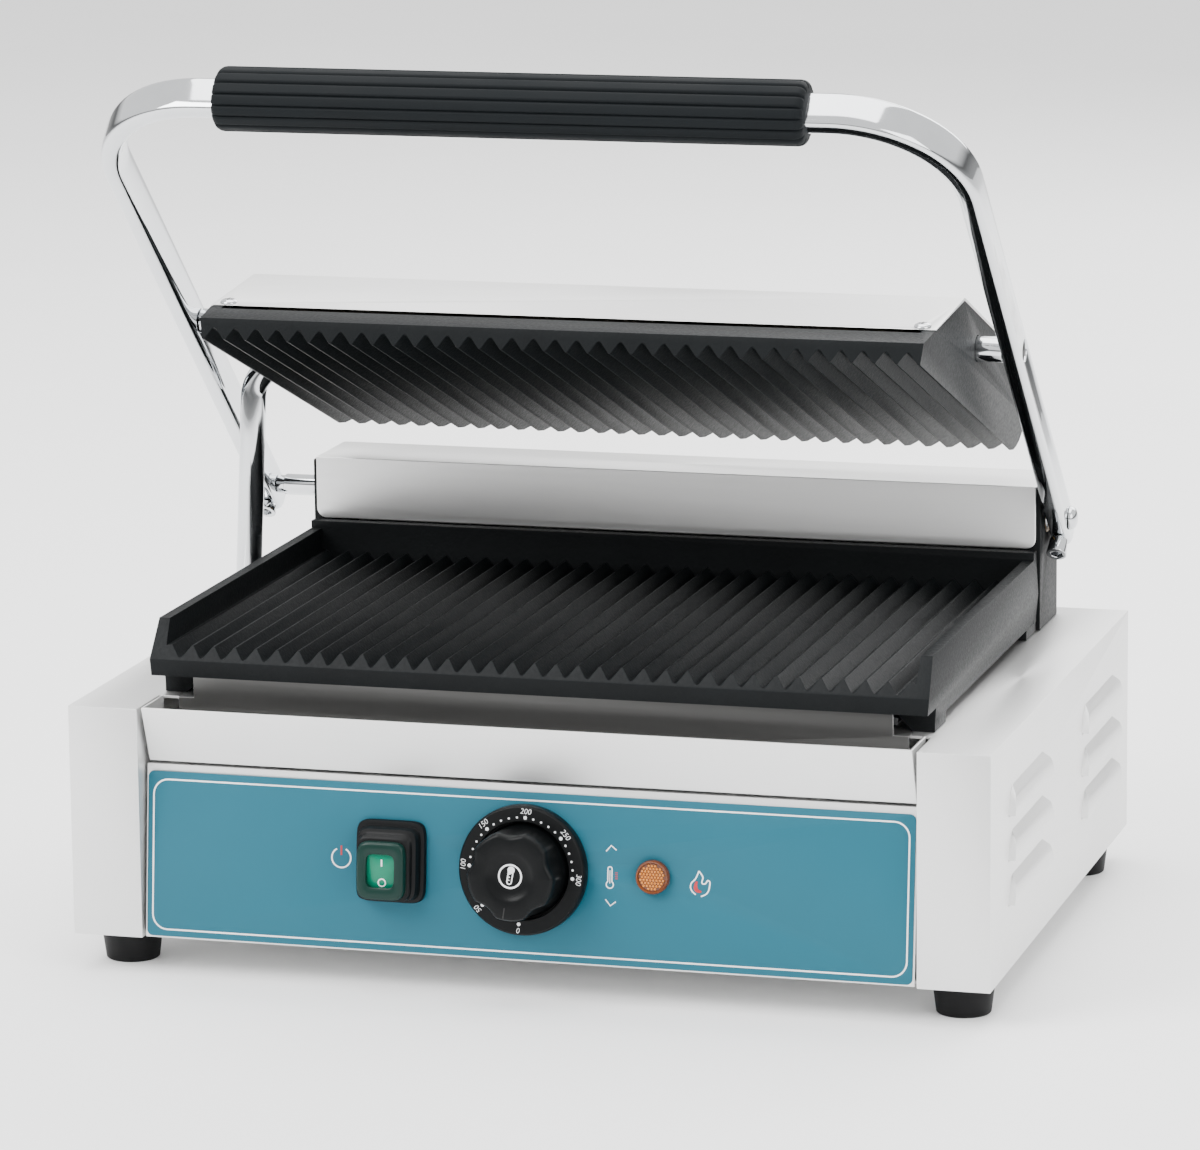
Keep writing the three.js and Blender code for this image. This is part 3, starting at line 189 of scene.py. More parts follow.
def brushedSteel(name, along, colour=(0.80, 0.80, 0.795), rough=(0.44, 0.54)):
    finish = Finish(name, colour, 1.0, 0.48, Anisotropic=0.35)
    stretch = [1.0 if axis == along else 45.0 for axis in "xyz"]
    grain = finish.noise(22, stretch, 5.0, 0.7)
    cloud = finish.noise(7, detail=2.0)
    finish.rough(grain, *rough)
    finish.tint(cloud, 0.965, 1.02)
    finish.bump((grain, 0.22, 0.00005))
    return finish.material


def castIron(name, colour, rough=(0.45, 0.56)):
    finish = Finish(name, colour, 0.0, 0.5, Specular_IOR_Level=0.12)
    grit = finish.noise(1900, detail=3.0, roughness=0.6)
    skin = finish.noise(720, detail=2.0, roughness=0.5)
    cloud = finish.noise(34, detail=4.0)
    finish.rough(skin, *rough)
    finish.tint(cloud, 0.88, 1.14)
    finish.bump((skin, 0.55, 0.00030), (grit, 0.40, 0.00014))
    return finish.material


def mouldedPlastic(
        name, colour, rough=(0.4, 0.55), grain=2200, depth=0.00006, cloudy=(0.9, 1.12), **sockets):
    finish = Finish(name, colour, 0.0, 0.5, **sockets)
    texture = finish.noise(grain, detail=2.0)
    cloud = finish.noise(30, detail=3.0)
    finish.rough(cloud, *rough)
    finish.tint(cloud, *cloudy)
    finish.bump((texture, 0.35, depth))
    return finish.material


def polishedChrome(name, colour=(0.62, 0.635, 0.65), rough=(0.05, 0.11)):
    finish = Finish(name, colour, 1.0, 0.08)
    smear = finish.noise(60, detail=3.0)
    finish.rough(smear, *rough)
    finish.tint(smear, 0.97, 1.02)
    finish.bump((finish.noise(14, detail=1.0), 0.05, 0.0004))
    return finish.material


def plainMetal(name, colour, rough=(0.3, 0.5)):
    finish = Finish(name, colour, 1.0, 0.4)
    cloud = finish.noise(120, detail=4.0)
    finish.rough(cloud, *rough)
    finish.tint(cloud, 0.88, 1.08)
    finish.bump((finish.noise(900, detail=2.0), 0.2, 0.00005))
    return finish.material


def feltedWool(name, colour):
    finish = Finish(name, colour, 0.0, 0.95)
    tuft = finish.noise(420, detail=6.0, roughness=0.75)
    finish.tint(tuft, 0.7, 1.1)
    finish.bump((tuft, 0.8, 0.0012))
    return finish.material


finishes = {
    "steelX": brushedSteel("brushedSteelAcross", "x"),
    "steelY": brushedSteel("brushedSteelDeep", "y"),
    # painted shade and painted reflection: dark steel colour for the apron under the plate
    "apron": brushedSteel("brushedSteelApronPaintedShade", "x", (0.11, 0.109, 0.107), (0.34, 0.44)),
    "castPlate": castIron("seasonedCastIron", (0.0048, 0.0058, 0.0064)),
    "castBracket": castIron("blackCastIron", (0.0045, 0.0052, 0.0056), (0.5, 0.62)),
    "chrome": polishedChrome("polishedChrome"),
    "zinc": plainMetal("zincPlatedSteel", (0.50, 0.51, 0.52)),
    "bronze": plainMetal("sinteredBronze", (0.46, 0.29, 0.12)),
    "sheath": plainMetal("heaterSheath", (0.10, 0.09, 0.08), (0.45, 0.65)),
    "wool": feltedWool("mineralWool", (0.57, 0.50, 0.38)),
    "grip": mouldedPlastic("gripRubber", (0.0048, 0.0062, 0.0072), (0.56, 0.68), 1500, 0.00008,
                           Specular_IOR_Level=0.1),
    "rubber": mouldedPlastic("footRubber", (0.0030, 0.0030, 0.0034), (0.5, 0.65), 900, 0.0001,
                             Specular_IOR_Level=0.2),
    "bezel": mouldedPlastic("bezelRubber", (0.0028, 0.0032, 0.0035), (0.34, 0.46), 1400, 0.00005,
                            Specular_IOR_Level=0.15),
    "dial": mouldedPlastic("dialMoulding", (0.0030, 0.0035, 0.0038), (0.36, 0.46), 2600, 0.00006,
                           Specular_IOR_Level=0.13),
    "knob": mouldedPlastic("knobMoulding", (0.0026, 0.0031, 0.0034), (0.28, 0.38), 1700, 0.00011,
                           Specular_IOR_Level=0.13),
    # painted shade: near-black colour laid in recesses, the pin holes, the knob's pointer notch and the screw
    # crosses
    "recessShade": mouldedPlastic("paintedRecessShade", (0.002, 0.002, 0.002), (0.5, 0.6)),
    "overlay": mouldedPlastic("overlayFilm", (0.0095, 0.100, 0.145), (0.44, 0.48), 3200, 0.00003,
                              (0.985, 1.015), Specular_IOR_Level=0.25),
    "print": mouldedPlastic("whitePrint", (0.82, 0.83, 0.84), (0.45, 0.55), 2600, 0.00001),
    "redPrint": mouldedPlastic("redPrint", (0.40, 0.012, 0.02), (0.45, 0.55), 2600, 0.00001),
    "nylon": mouldedPlastic("naturalNylon", (0.66, 0.64, 0.58), (0.45, 0.6)),
    "rocker": mouldedPlastic("rockerGreen", (0.0006, 0.165, 0.092), (0.16, 0.24), 800, 0.00002,
                             Specular_IOR_Level=0.25),
    "boot": mouldedPlastic("splashCap", (0.0022, 0.0185, 0.0140), (0.24, 0.34), 500, 0.00004,
                           Specular_IOR_Level=0.2),
    "amber": mouldedPlastic("amberLens", (0.52, 0.175, 0.018), (0.10, 0.18), 700, 0.00003),
    "amberRim": mouldedPlastic("amberRim", (0.12, 0.032, 0.009), (0.14, 0.22), 700, 0.00003),
}
print("materials made")


# making pieces

def addPiece(name, mesh, finish, body, replaced=()):
    piece = bpy.data.objects.new(name, mesh)
    bpy.context.scene.collection.objects.link(piece)
    mesh.materials.clear()
    mesh.materials.append(finishes[finish])
    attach(piece, body)
    if replaced:
        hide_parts(*replaced)
    return piece


# scales a shape drawn in millimetres, puts it in place and hands it over
def finishPiece(bm, name, finish, body, replaced=(), place=None, sharp=35):
    bmesh.ops.scale(bm, vec=(mm, mm, mm), verts=bm.verts)
    if place is not None:
        bmesh.ops.transform(bm, matrix=place, verts=bm.verts)
    bmesh.ops.remove_doubles(bm, verts=bm.verts, dist=1e-7)
    bmesh.ops.recalc_face_normals(bm, faces=bm.faces)
    mesh = bpy.data.meshes.new(name)
    bm.to_mesh(mesh)
    bm.free()
    mesh.shade_smooth()
    mesh.set_sharp_from_angle(angle=math.radians(sharp))
    return addPiece(name, mesh, finish, body, replaced)


# a copy of a CAD node with its edges rounded, which stands for the node
def softened(node, finish, width=0.35, segments=2, angle=30):
    bm = bmesh.new()
    bm.from_mesh(frame["nodes"][node].data)
    bmesh.ops.remove_doubles(bm, verts=bm.verts, dist=1e-6)
    bmesh.ops.dissolve_limit(bm, angle_limit=math.radians(0.6), verts=bm.verts, edges=bm.edges)
    name = node + "_soft"
    mesh = bpy.data.meshes.new(name)
    bm.to_mesh(mesh)
    bm.free()
    mesh.shade_smooth()
    piece = addPiece(name, mesh, finish, nodeBody[node], (node,))
    bevel = piece.modifiers.new("roundedEdges", "BEVEL")
    bevel.width = width * mm
    bevel.segments = segments
    bevel.limit_method = "ANGLE"
    bevel.angle_limit = math.radians(angle)
    bevel.harden_normals = True
    return piece


# a shape raised ring by ring from a circle along +Z; a ring is half width, half height, level,
# squareness of its corners, and how far its centre is moved
def tower(rings, segments=48, lobes=None, capped=True):
    bm = bmesh.new()
    bmesh.ops.create_circle(bm, cap_ends=False, radius=1.0, segments=segments)
    corner = bm.verts.layers.float.new("corner")
    for vertex in bm.verts:
        vertex[corner] = math.atan2(vertex.co.y, vertex.co.x)
    loop = list(bm.edges)

    def shape(edges, ring):
        a, b, level, squareness, shiftX, shiftY = (*ring, *(2.0, 0.0, 0.0)[len(ring) - 3:])
        power = 2.0 / squareness
        for vertex in {v for edge in edges for v in edge.verts}:
            angle = vertex[corner]
            cos, sin = math.cos(angle), math.sin(angle)
            pull = lobes(angle, ring) if lobes else 0.0
            vertex.co = (
                shiftX + (a - pull) * math.copysign(abs(cos) ** power, cos),
                shiftY + (b - pull) * math.copysign(abs(sin) ** power, sin),
                level,
            )

    shape(loop, rings[0])
    if capped:
        bmesh.ops.contextual_create(bm, geom=loop)
    for ring in rings[1:]:
        raised = bmesh.ops.extrude_edge_only(bm, edges=loop)
        loop = [item for item in raised["geom"] if isinstance(item, bmesh.types.BMEdge)]
        shape(loop, ring)
    if capped:
        bmesh.ops.contextual_create(bm, geom=loop)
    return bm


def roundRings(profile):
    return [(radius, radius, level) for radius, level in profile]


# a closed shape whose last ring meets its first
def hollowTower(rings, segments=48):
    bm = tower(rings, segments, capped=False)
    bmesh.ops.bridge_loops(bm, edges=[edge for edge in bm.edges if edge.is_boundary])
    return bm


# lays +Z along a direction at a place in metres
def turnedTo(direction, place):
    return Matrix.Translation(place) @ Vector(direction).to_track_quat("Z", "Y").to_matrix().to_4x4()


# carries a loop of edges along straight runs and round bends
def sweepLoop(bm, loop, moves):
    for move in moves:
        if move[0] == "go":
            raised = bmesh.ops.extrude_edge_only(bm, edges=loop)
            loop = [item for item in raised["geom"] if isinstance(item, bmesh.types.BMEdge)]
            vertices = list({v for edge in loop for v in edge.verts})
            bmesh.ops.translate(bm, vec=move[1], verts=vertices)
        else:
            centre, axis, angle, steps = move[1:]
            vertices = list({v for edge in loop for v in edge.verts})
            turned = bmesh.ops.spin(
                bm, geom=vertices + loop, cent=centre, axis=axis, dvec=(0, 0, 0),
                angle=math.radians(angle), steps=steps, use_duplicate=False)
            loop = [item for item in turned["geom_last"] if isinstance(item, bmesh.types.BMEdge)]
    return loop


# a text or curve object made a mesh, pressed flat
def flatMesh(source, flatten=0.2):
    bpy.context.scene.collection.objects.link(source)
    bpy.context.view_layer.update()
    graph = bpy.context.evaluated_depsgraph_get()
    mesh = bpy.data.meshes.new_from_object(source.evaluated_get(graph))
    bpy.data.objects.remove(source)
    mesh.transform(Matrix.Diagonal((1, 1, flatten, 1)))
    return mesh


# joins flat marks into one printed piece
def printed(name, meshes, finish, body, place):
    bm = bmesh.new()
    for mesh in meshes:
        bm.from_mesh(mesh)
        bpy.data.meshes.remove(mesh)
    return finishPiece(bm, name, finish, body, (), place)


# a curve through points in millimetres, straight from point to point or smooth
def inkCurve(points, dimensions, closed, smooth):
    data = bpy.data.curves.new("ink", "CURVE")
    data.dimensions = dimensions
    if smooth:
        spline = data.splines.new("BEZIER")
        spline.bezier_points.add(len(points) - 1)
        for knot, point in zip(spline.bezier_points, points):
            knot.co = (*point, 0)
            knot.handle_left_type = knot.handle_right_type = "AUTO"
    else:
        spline = data.splines.new("POLY")
        spline.points.add(len(points) - 1)
        for knot, point in zip(spline.points, points):
            knot.co = (*point, 0, 1)
    spline.use_cyclic_u = closed
    return data


def inkLine(points, width=0.6, closed=False, smooth=False):
    data = inkCurve(points, "3D", closed, smooth)
    data.bevel_depth = width / 2
    data.bevel_resolution = 2
    data.resolution_u = 10
    data.use_fill_caps = True
    return flatMesh(bpy.data.objects.new("ink", data))


inkThickness = 0.25


def inkFill(points, smooth=False):
    data = inkCurve(points, "2D", True, smooth)
    data.fill_mode = "BOTH"
    data.extrude = inkThickness
    return flatMesh(bpy.data.objects.new("ink", data))


def inkText(words, size, centre, turn=0.0):
    data = bpy.data.curves.new("ink", "FONT")
    data.body = words
    data.size = size
    data.align_x = "CENTER"
    data.align_y = "CENTER"
    data.extrude = inkThickness
    data.shear = 0.14  # a slight slant
    data.offset = -0.045  # thinner strokes
    mesh = flatMesh(bpy.data.objects.new("ink", data))
    mesh.transform(Matrix.Translation((*centre, 0)) @ Matrix.Rotation(math.radians(turn), 4, "Z"))
    return mesh


def arc(centre, radius, start, end, steps=24):
    return [
        (centre[0] + radius * math.cos(math.radians(start + (end - start) * i / steps)),
         centre[1] + radius * math.sin(math.radians(start + (end - start) * i / steps)))
        for i in range(steps + 1)
    ]


# frames of the leaning panel, the arm and the upper plate

dialAxis = Vector(joints["knob_turn"]["axis"])
dialCentre = Vector(joints["knob_turn"]["pos_m"])
hingePlace = Vector(joints["arm_hinge"]["pos_m"])
pivotPlace = Vector(joints["plate_pivot"]["pos_m"])


def axesMatrix(right, up, out, place):
    return Matrix.Translation(place) @ Matrix((right, up, out)).transposed().to_4x4()


panelPlace = axesMatrix(
    Vector((1, 0, 0)), Vector((0, -dialAxis.z, dialAxis.y)), -dialAxis, dialCentre)

legRun = (pivotPlace - hingePlace).normalized()  # from the hinge up along the legs
armPlace = axesMatrix(
    Vector((1, 0, 0)), legRun, Vector((1, 0, 0)).cross(legRun), Vector((0, hingePlace.y, hingePlace.z)))


# stainless housing

housing = {"edge": 0.45, "segments": 3, "apronFront": -123.96, "apronReach": 2.5}


# the deck's upright apron under the front of the plate gets a darker steel colour: painted shade and painted
# reflection of the dark plates above it
def paintApronShade(deck):
    deck.data.materials.append(finishes["apron"])
    for face in deck.data.polygons:
        if abs(face.center.y / mm - housing["apronFront"]) < housing["apronReach"] and face.normal.y < -0.9:
            face.material_index = 1


def buildHousing():
    for node in ("left_side_panel", "right_side_panel"):
        softened(node, "steelY", housing["edge"], housing["segments"])
    paintApronShade(softened("deck", "steelX", 0.3))
    for node in ("back_panel", "base_plate"):
        softened(node, "steelX", 0.3)
    softened("drip_tray", "steelX", 0.4, 3)
    softened("rear_cover", "steelX", 0.5, 3)
    softened("control_panel", "steelX", 0.4)
    softened("panel_overlay", "overlay", 0.15)
    print("housing done")


def buildPlates():
    softened("lower_plate", "castPlate", 0.4, 3)
    softened("upper_plate", "castPlate", 0.4, 3)
    softened("upper_cover", "steelX", 0.35, 3)
    for side in ("left", "right"):
        softened(side + "_hinge_bracket", "castBracket", 0.6)
    print("plates done")


# bail and grip

bail = {
    "bend": 54.0, "halfDepth": 9.0, "halfWidth": 4.75, "squareness": 4.6, "steps": 20,
    "pastHinge": 13.0, "endRound": ((0.0, 5.4), (0.7, 7.2), (2.2, 8.4), (4.6, 9.0)),
}


def buildBail():
    low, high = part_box("bail")
    leftX, rightX = low.x / mm + bail["halfWidth"], high.x / mm - bail["halfWidth"]
    gripLow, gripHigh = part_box("grip")
    reach = ((gripLow + gripHigh) / 2 - Vector((0, hingePlace.y, hingePlace.z))).dot(legRun) / mm
    bm = bmesh.new()
    bmesh.ops.create_circle(bm, cap_ends=False, radius=1.0, segments=40)
    power = 2.0 / bail["squareness"]
    for vertex in bm.verts:  # section lies across the leg: X is the tube's width, Z its depth
        cos, sin = vertex.co.x, vertex.co.y
        vertex.co = (
            bail["halfWidth"] * math.copysign(abs(cos) ** power, cos), 0,
            bail["halfDepth"] * math.copysign(abs(sin) ** power, sin))
    loop = list(bm.edges)
    start = -bail["pastHinge"]
    bmesh.ops.translate(bm, vec=(leftX, start, 0), verts=bm.verts)
    first = list(bm.verts)
    rings = bail["endRound"]
    for vertex in first:
        vertex.co.z *= rings[0][1] / bail["halfDepth"]
    bmesh.ops.contextual_create(bm, geom=loop)
    for (before, was), (after, depth) in zip(rings, rings[1:]):
        loop = sweepLoop(bm, loop, [("go", (0, after - before, 0))])
        for vertex in {v for edge in loop for v in edge.verts}:
            vertex.co.z *= depth / was
    bend = bail["bend"]
    straight = reach - bend - start - rings[-1][0]
    loop = sweepLoop(bm, loop, [
        ("go", (0, straight, 0)),
        ("turn", (leftX + bend, reach - bend, 0), (0, 0, -1), 90, bail["steps"]),
        ("go", (rightX - leftX - 2 * bend, 0, 0)),
        ("turn", (rightX - bend, reach - bend, 0), (0, 0, -1), 90, bail["steps"]),
        ("go", (0, -straight, 0)),
    ])
    for (before, was), (after, depth) in zip(rings[::-1], rings[-2::-1]):
        loop = sweepLoop(bm, loop, [("go", (0, after - before, 0))])
        for vertex in {v for edge in loop for v in edge.verts}:
            vertex.co.z *= depth / was
    bmesh.ops.contextual_create(bm, geom=loop)
    tube = finishPiece(bm, "bailTube", "chrome", "arm", ("bail",), armPlace, 50)
    sinkPinHoles(tube, leftX, rightX)
    buildGrip(reach, (gripLow.x / mm, gripHigh.x / mm))
    print("bail done")


pinHole = {"radius": 5.2, "depth": 1.6, "rim": 0.35, "pinRadius": 3.4}


# round recess on the outside of each leg, with the end of the pivot pin in it; the recess floor and pin end are
# near-black, painted shade in the recess
def sinkPinHoles(tube, leftX, rightX):
    along = (pivotPlace - hingePlace).length / mm
    r, depth = pinHole["radius"], pinHole["depth"]
    for side, sign, x in (("left", -1, leftX), ("right", 1, rightX)):
        face = abs(x) + bail["halfWidth"]
        across = axesMatrix(Vector((0, 1, 0)), Vector((0, 0, sign)), Vector((sign, 0, 0)),
                            Vector((0, along, 0)) * mm)
        cutter = bpy.data.objects.new("cutter", bpy.data.meshes.new("cutter"))
        bm = tower(roundRings([(r, face - depth), (r, face - pinHole["rim"]), (r + 1.2, face + 0.8)]), 40)
        bmesh.ops.scale(bm, vec=(mm, mm, mm), verts=bm.verts)
        bmesh.ops.transform(bm, matrix=armPlace @ across, verts=bm.verts)
        bmesh.ops.recalc_face_normals(bm, faces=bm.faces)
        bm.to_mesh(cutter.data)
        bm.free()
        bpy.context.scene.collection.objects.link(cutter)
        sink = tube.modifiers.new("sink", "BOOLEAN")
        sink.operation = "DIFFERENCE"
        sink.solver = "EXACT"
        sink.object = cutter
        bpy.context.view_layer.update()
        graph = bpy.context.evaluated_depsgraph_get()
        mesh = bpy.data.meshes.new_from_object(tube.evaluated_get(graph))
        tube.modifiers.remove(sink)
        bpy.data.objects.remove(cutter)
        tube.data = mesh
        pin = pinHole["pinRadius"]
        plug = tower(roundRings([
            (r - 0.05, face - depth + 0.02), (r - 0.05, face - depth + 0.3),
            (pin + 0.3, face - depth + 0.3), (pin, face - depth + 0.4), (pin - 0.1, face - 0.7),
            (pin - 0.6, face - 0.4)]), 40)
        finishPiece(plug, side + "PinEnd", "recessShade", "arm", (), armPlace @ across, 40)
    tube.data.shade_smooth()
    tube.data.set_sharp_from_angle(angle=math.radians(50))


grip = {"halfAcross": 13.3, "halfUp": 15.05, "flutes": 16, "depth": 1.1, "narrow": 6, "squareness": 2.1}


def buildGrip(reach, span):
    def flutes(angle, ring):
        return grip["depth"] * max(0.0, math.cos(angle * grip["flutes"])) ** grip["narrow"]

    a, b, n = grip["halfAcross"], grip["halfUp"], grip["squareness"]
    length = span[1] - span[0]
    ends = ((0.0, 3.2), (0.35, 1.9), (1.1, 0.9), (2.2, 0.3), (3.8, 0.0))
    rings = [(a - shrink, b - shrink, at, n) for at, shrink in ends]
    rings += [(a, b, length * part, n) for part in (0.25, 0.5, 0.75)]
    rings += [(a - shrink, b - shrink, length - at, n) for at, shrink in ends[::-1]]
    bm = tower(rings, grip["flutes"] * 12, flutes)
    lay = axesMatrix(
        Vector((0, 1, 0)), Vector((0, 0, 1)), Vector((1, 0, 0)), Vector((span[0], reach, 0)) * mm)
    finishPiece(bm, "gripSleeve", "grip", "arm", ("grip",), armPlace @ lay, 60)


# hinge, pins and screws

hardware = {
    "boltRadius": 5.7, "boltRise": 3.6, "shankRadius": 2.9,
    # share of the radius, rise
    "boltHead": ((1, 0), (1, 0.6), (0.93, 1.6), (0.75, 2.6), (0.45, 3.3), (0.12, 3.6)),
}


def buildHardware():
    for side in ("left", "right"):
        sign = -1 if side == "left" else 1
        low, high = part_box(side + "_hinge_bolt")
        outer = (low.x if sign < 0 else high.x) / mm
        inner = (high.x if sign < 0 else low.x) / mm
        base = abs(outer) - hardware["boltRise"]
        shank, radius = hardware["shankRadius"], hardware["boltRadius"]
        profile = [(shank, abs(inner)), (shank, base)]
        profile += [(share * radius, base + rise) for share, rise in hardware["boltHead"]]
        bm = tower(roundRings(profile), 32)
        centre = Vector((0, hingePlace.y, hingePlace.z))
        finishPiece(bm, side + "HingeBolt", "chrome", "arm", (side + "_hinge_bolt",),
                    turnedTo((sign, 0, 0), centre))
        softened(side + "_pivot_pin", "chrome", 0.4, 3)
        softened(side + "_stop_screw", "chrome", 0.5, 3)
        softened(side + "_hinge_bush", "bronze", 0.2)
    softened("hinge_axle", "chrome", 0.4, 3)
    print("hardware done")


# dial

dialFace = {
    "profile": ((4.6, 1.3), (29.4, 1.3), (29.6, 1.6), (29.6, 5.6), (29.3, 7.0), (28.5, 7.8), (22.6, 7.8),
                (22.3, 7.5), (22.3, 2.6), (4.6, 2.6)),
    "numbers": ("0", "50", "100", "150", "200", "250", "300"), "start": -91.5, "step": 45.6, "dots": 5,
    "numberRadius": 27.0, "numberSize": 3.5, "dotRadius": 24.2, "bigDot": 0.85, "smallDot": 0.5,
    "level": 7.83,
}


def buildDial():
    bm = hollowTower(roundRings(dialFace["profile"]), 96)
    finishPiece(bm, "dialRing", "dial", "base", ("dial_ring",), panelPlace)
    marks = []
    for index, number in enumerate(dialFace["numbers"]):
        angle = dialFace["start"] - dialFace["step"] * index
        cos, sin = math.cos(math.radians(angle)), math.sin(math.radians(angle))
        r = dialFace["numberRadius"]
        marks.append(inkText(number, dialFace["numberSize"], (r * cos, r * sin), angle - 90))
        for dot in range(dialFace["dots"]):
            if dot and index in (0, len(dialFace["numbers"]) - 1):
                continue
            turn = math.radians(angle - dialFace["step"] * dot / dialFace["dots"])
            size = dialFace["smallDot"] if dot else dialFace["bigDot"]
            spot = (dialFace["dotRadius"] * math.cos(turn), dialFace["dotRadius"] * math.sin(turn))
            marks.append(inkLine(arc(spot, size / 2, 0, 360, 12), size, True))
    printed("dialNumbers", marks, "print", "base",
            panelPlace @ Matrix.Translation((0, 0, dialFace["level"] * mm)))
    buildKnob()
    print("dial done")


knob = {
    "radius": 20.4, "skirt": 21.4, "back": 3.2, "front": 26.03, "scallops": 5, "peak": 54, "depth": 2.1,
    "recess": 10.8, "dish": 1.5, "iconRadius": 5.2, "ink": 0.8, "iconTilt": -9,
    "pointerTilt": -8, "pointer": (-19.2, -14.4),
}


def buildKnob():
    r, back, front = knob["radius"], knob["back"], knob["front"]

    def scallop(angle, ring):
        share = min(max((ring[2] - back - 2.4) / (front - back - 9), 0), 1) if ring[0] > 15 else 0
        wave = max(0.0, math.cos((angle - math.radians(knob["peak"] + 36)) * knob["scallops"]))
        return knob["depth"] * share * wave ** 1.1

    recess, dish = knob["recess"], knob["dish"]
    rings = roundRings([
        (3.2, back - 0.4), (knob["skirt"], back), (knob["skirt"], back + 1.6), (r + 0.3, back + 2.4),
        (r, back + 5), (r, back + 9), (r, front - 8), (r, front - 4), (r - 0.15, front - 1.9),
        (r - 0.6, front - 0.8), (r - 1.4, front - 0.15), (r - 2.4, front), (recess + 1.2, front),
        (recess + 0.3, front - 0.12), (recess - 0.5, front - 0.5), (recess - 1.8, front - 1.1),
        (recess - 3.6, front - dish + 0.08), (recess - 4.6, front - dish),
    ])
    bm = tower(rings, 180, scallop)
    finishPiece(bm, "knobBody", "knob", "dial", ("knob",), panelPlace, 40)
    level = Matrix.Translation((0, 0, (front - dish + 0.04) * mm))
    tilt = Matrix.Rotation(math.radians(knob["iconTilt"]), 4, "Z")
    ink = knob["ink"]
    width = 1.05
    body = [(-width, 2.0), *[(width * x, width * y - 2.5) for x, y in arc((0, 0), 1, 180, 360, 12)],
            (width, 2.0)]
    icon = [
        inkLine(arc((0, 0), knob["iconRadius"], 0, 360, 48), ink, True),
        inkLine(body, ink * 0.68),
        inkFill(arc((0, 2.9), 1.65, 0, 360, 24)),
        *[inkLine([(-0.9, y), (0.0, y)], ink * 0.55) for y in (1.0, -0.4, -1.8)],
    ]
    printed("knobIcon", icon, "print", "dial", panelPlace @ level @ tilt)
    near, far = knob["pointer"]
    lean = Matrix.Rotation(math.radians(knob["pointerTilt"]), 4, "Z")
    # painted shade: the knob's pointer notch is a flat near-black line
    printed("knobPointer", [inkLine([(0, near), (0, far)], 0.7)], "recessShade", "dial",
            panelPlace @ lean @ Matrix.Translation((0, 0, (front - 0.04) * mm)))


# switch and lamp

switch = {
    "place": (-62.7, 0.1), "capPlace": (-64.2, -3.0), "keyPlace": (-64.0, -2.6),
    "corner": 7.0, "capCorner": 5.2, "keyCorner": 9.0, "lean": 5, "keyTop": 12.5,
    "frame": (  # half width, half height, level, then how far the step has slid aside
        (16.3, 18.7, 1.25, 0, 0), (16.3, 18.7, 3.5, 0, 0), (16.0, 18.4, 4.2, 0, 0), (15.2, 17.6, 4.4, 0, 0),
        (14.5, 16.9, 4.5, 0, -0.4), (14.2, 16.5, 5.2, 0, -0.5), (14.1, 16.3, 8.2, -0.3, -0.7),
        (13.9, 16.0, 8.9, -0.4, -0.8), (13.2, 15.3, 9.2, -0.5, -1.2), (12.8, 14.9, 9.5, -0.8, -1.8),
        (12.6, 14.7, 10.4, -1.0, -2.2), (12.4, 14.4, 11.2, -1.3, -2.7), (11.9, 13.8, 11.5, -1.5, -3.0),
        (10.0, 11.8, 11.5, -1.5, -3.0), (9.9, 11.7, 10.8, -1.4, -2.8), (9.9, 11.7, 1.25, -1.0, -2.4)),
    "cap": (
        (11.4, 13.3, 11.3), (11.4, 13.3, 13.2), (11.2, 13.1, 14.2), (10.7, 12.6, 14.9), (10.0, 11.9, 15.2),
        (7.2, 8.2, 15.15), (6.75, 7.75, 14.9), (6.6, 7.6, 14.4), (6.6, 7.6, 13.5), (9.4, 11.0, 13.5),
        (9.4, 11.0, 11.3)),
    "key": ((6.4, 7.0, 3.0), (7.4, 8.4, 6.5), (7.5, 8.5, 11.6), (7.2, 8.2, 12.2), (6.4, 7.4, 12.5)),
}


def onPanel(place, level=0.0):
    return panelPlace @ Matrix.Translation(Vector((place[0], place[1], level)) * mm)


def buildSwitch():
    frameRings = [(a, b, level, switch["corner"], x, y) for a, b, level, x, y in switch["frame"]]
    finishPiece(hollowTower(frameRings, 96), "switchBezel", "bezel", "base",
                ("switch_bezel",), onPanel(switch["place"]), 40)
    capRings = [(*ring, switch["capCorner"]) for ring in switch["cap"]]
    finishPiece(hollowTower(capRings, 96), "splashCap", "boot", "base",
                ("switch_boot",), onPanel(switch["capPlace"]), 40)
    keyRings = [(*ring, switch["keyCorner"]) for ring in switch["key"]]
    key = onPanel(switch["keyPlace"]) @ Matrix.Rotation(math.radians(switch["lean"]), 4, "X")
    finishPiece(tower(keyRings, 64), "rockerKey", "rocker", "rocker",
                ("switch_rocker",), key, 40)
    marks = [inkLine([(0, 2.6), (0, 5.9)], 0.7), inkLine(arc((0, -4.9), 1.7, 0, 360, 32), 0.6, True)]
    printed("rockerMarks", marks, "print", "rocker",
            key @ Matrix.Translation((0, 0, (switch["keyTop"] + 0.03) * mm)))
    print("switch done")


lamp = {
    "place": (59.8, 0.0), "radius": 7.7, "pitch": 1.5, "bead": 0.68, "field": 5.9, "beadLevel": 3.6,
    # inset, level
    "rim": ((0, 1.25), (0, 3.3), (0.2, 4.1), (0.6, 4.55), (1.0, 4.5), (1.35, 4.0), (1.5, 3.5)),
}


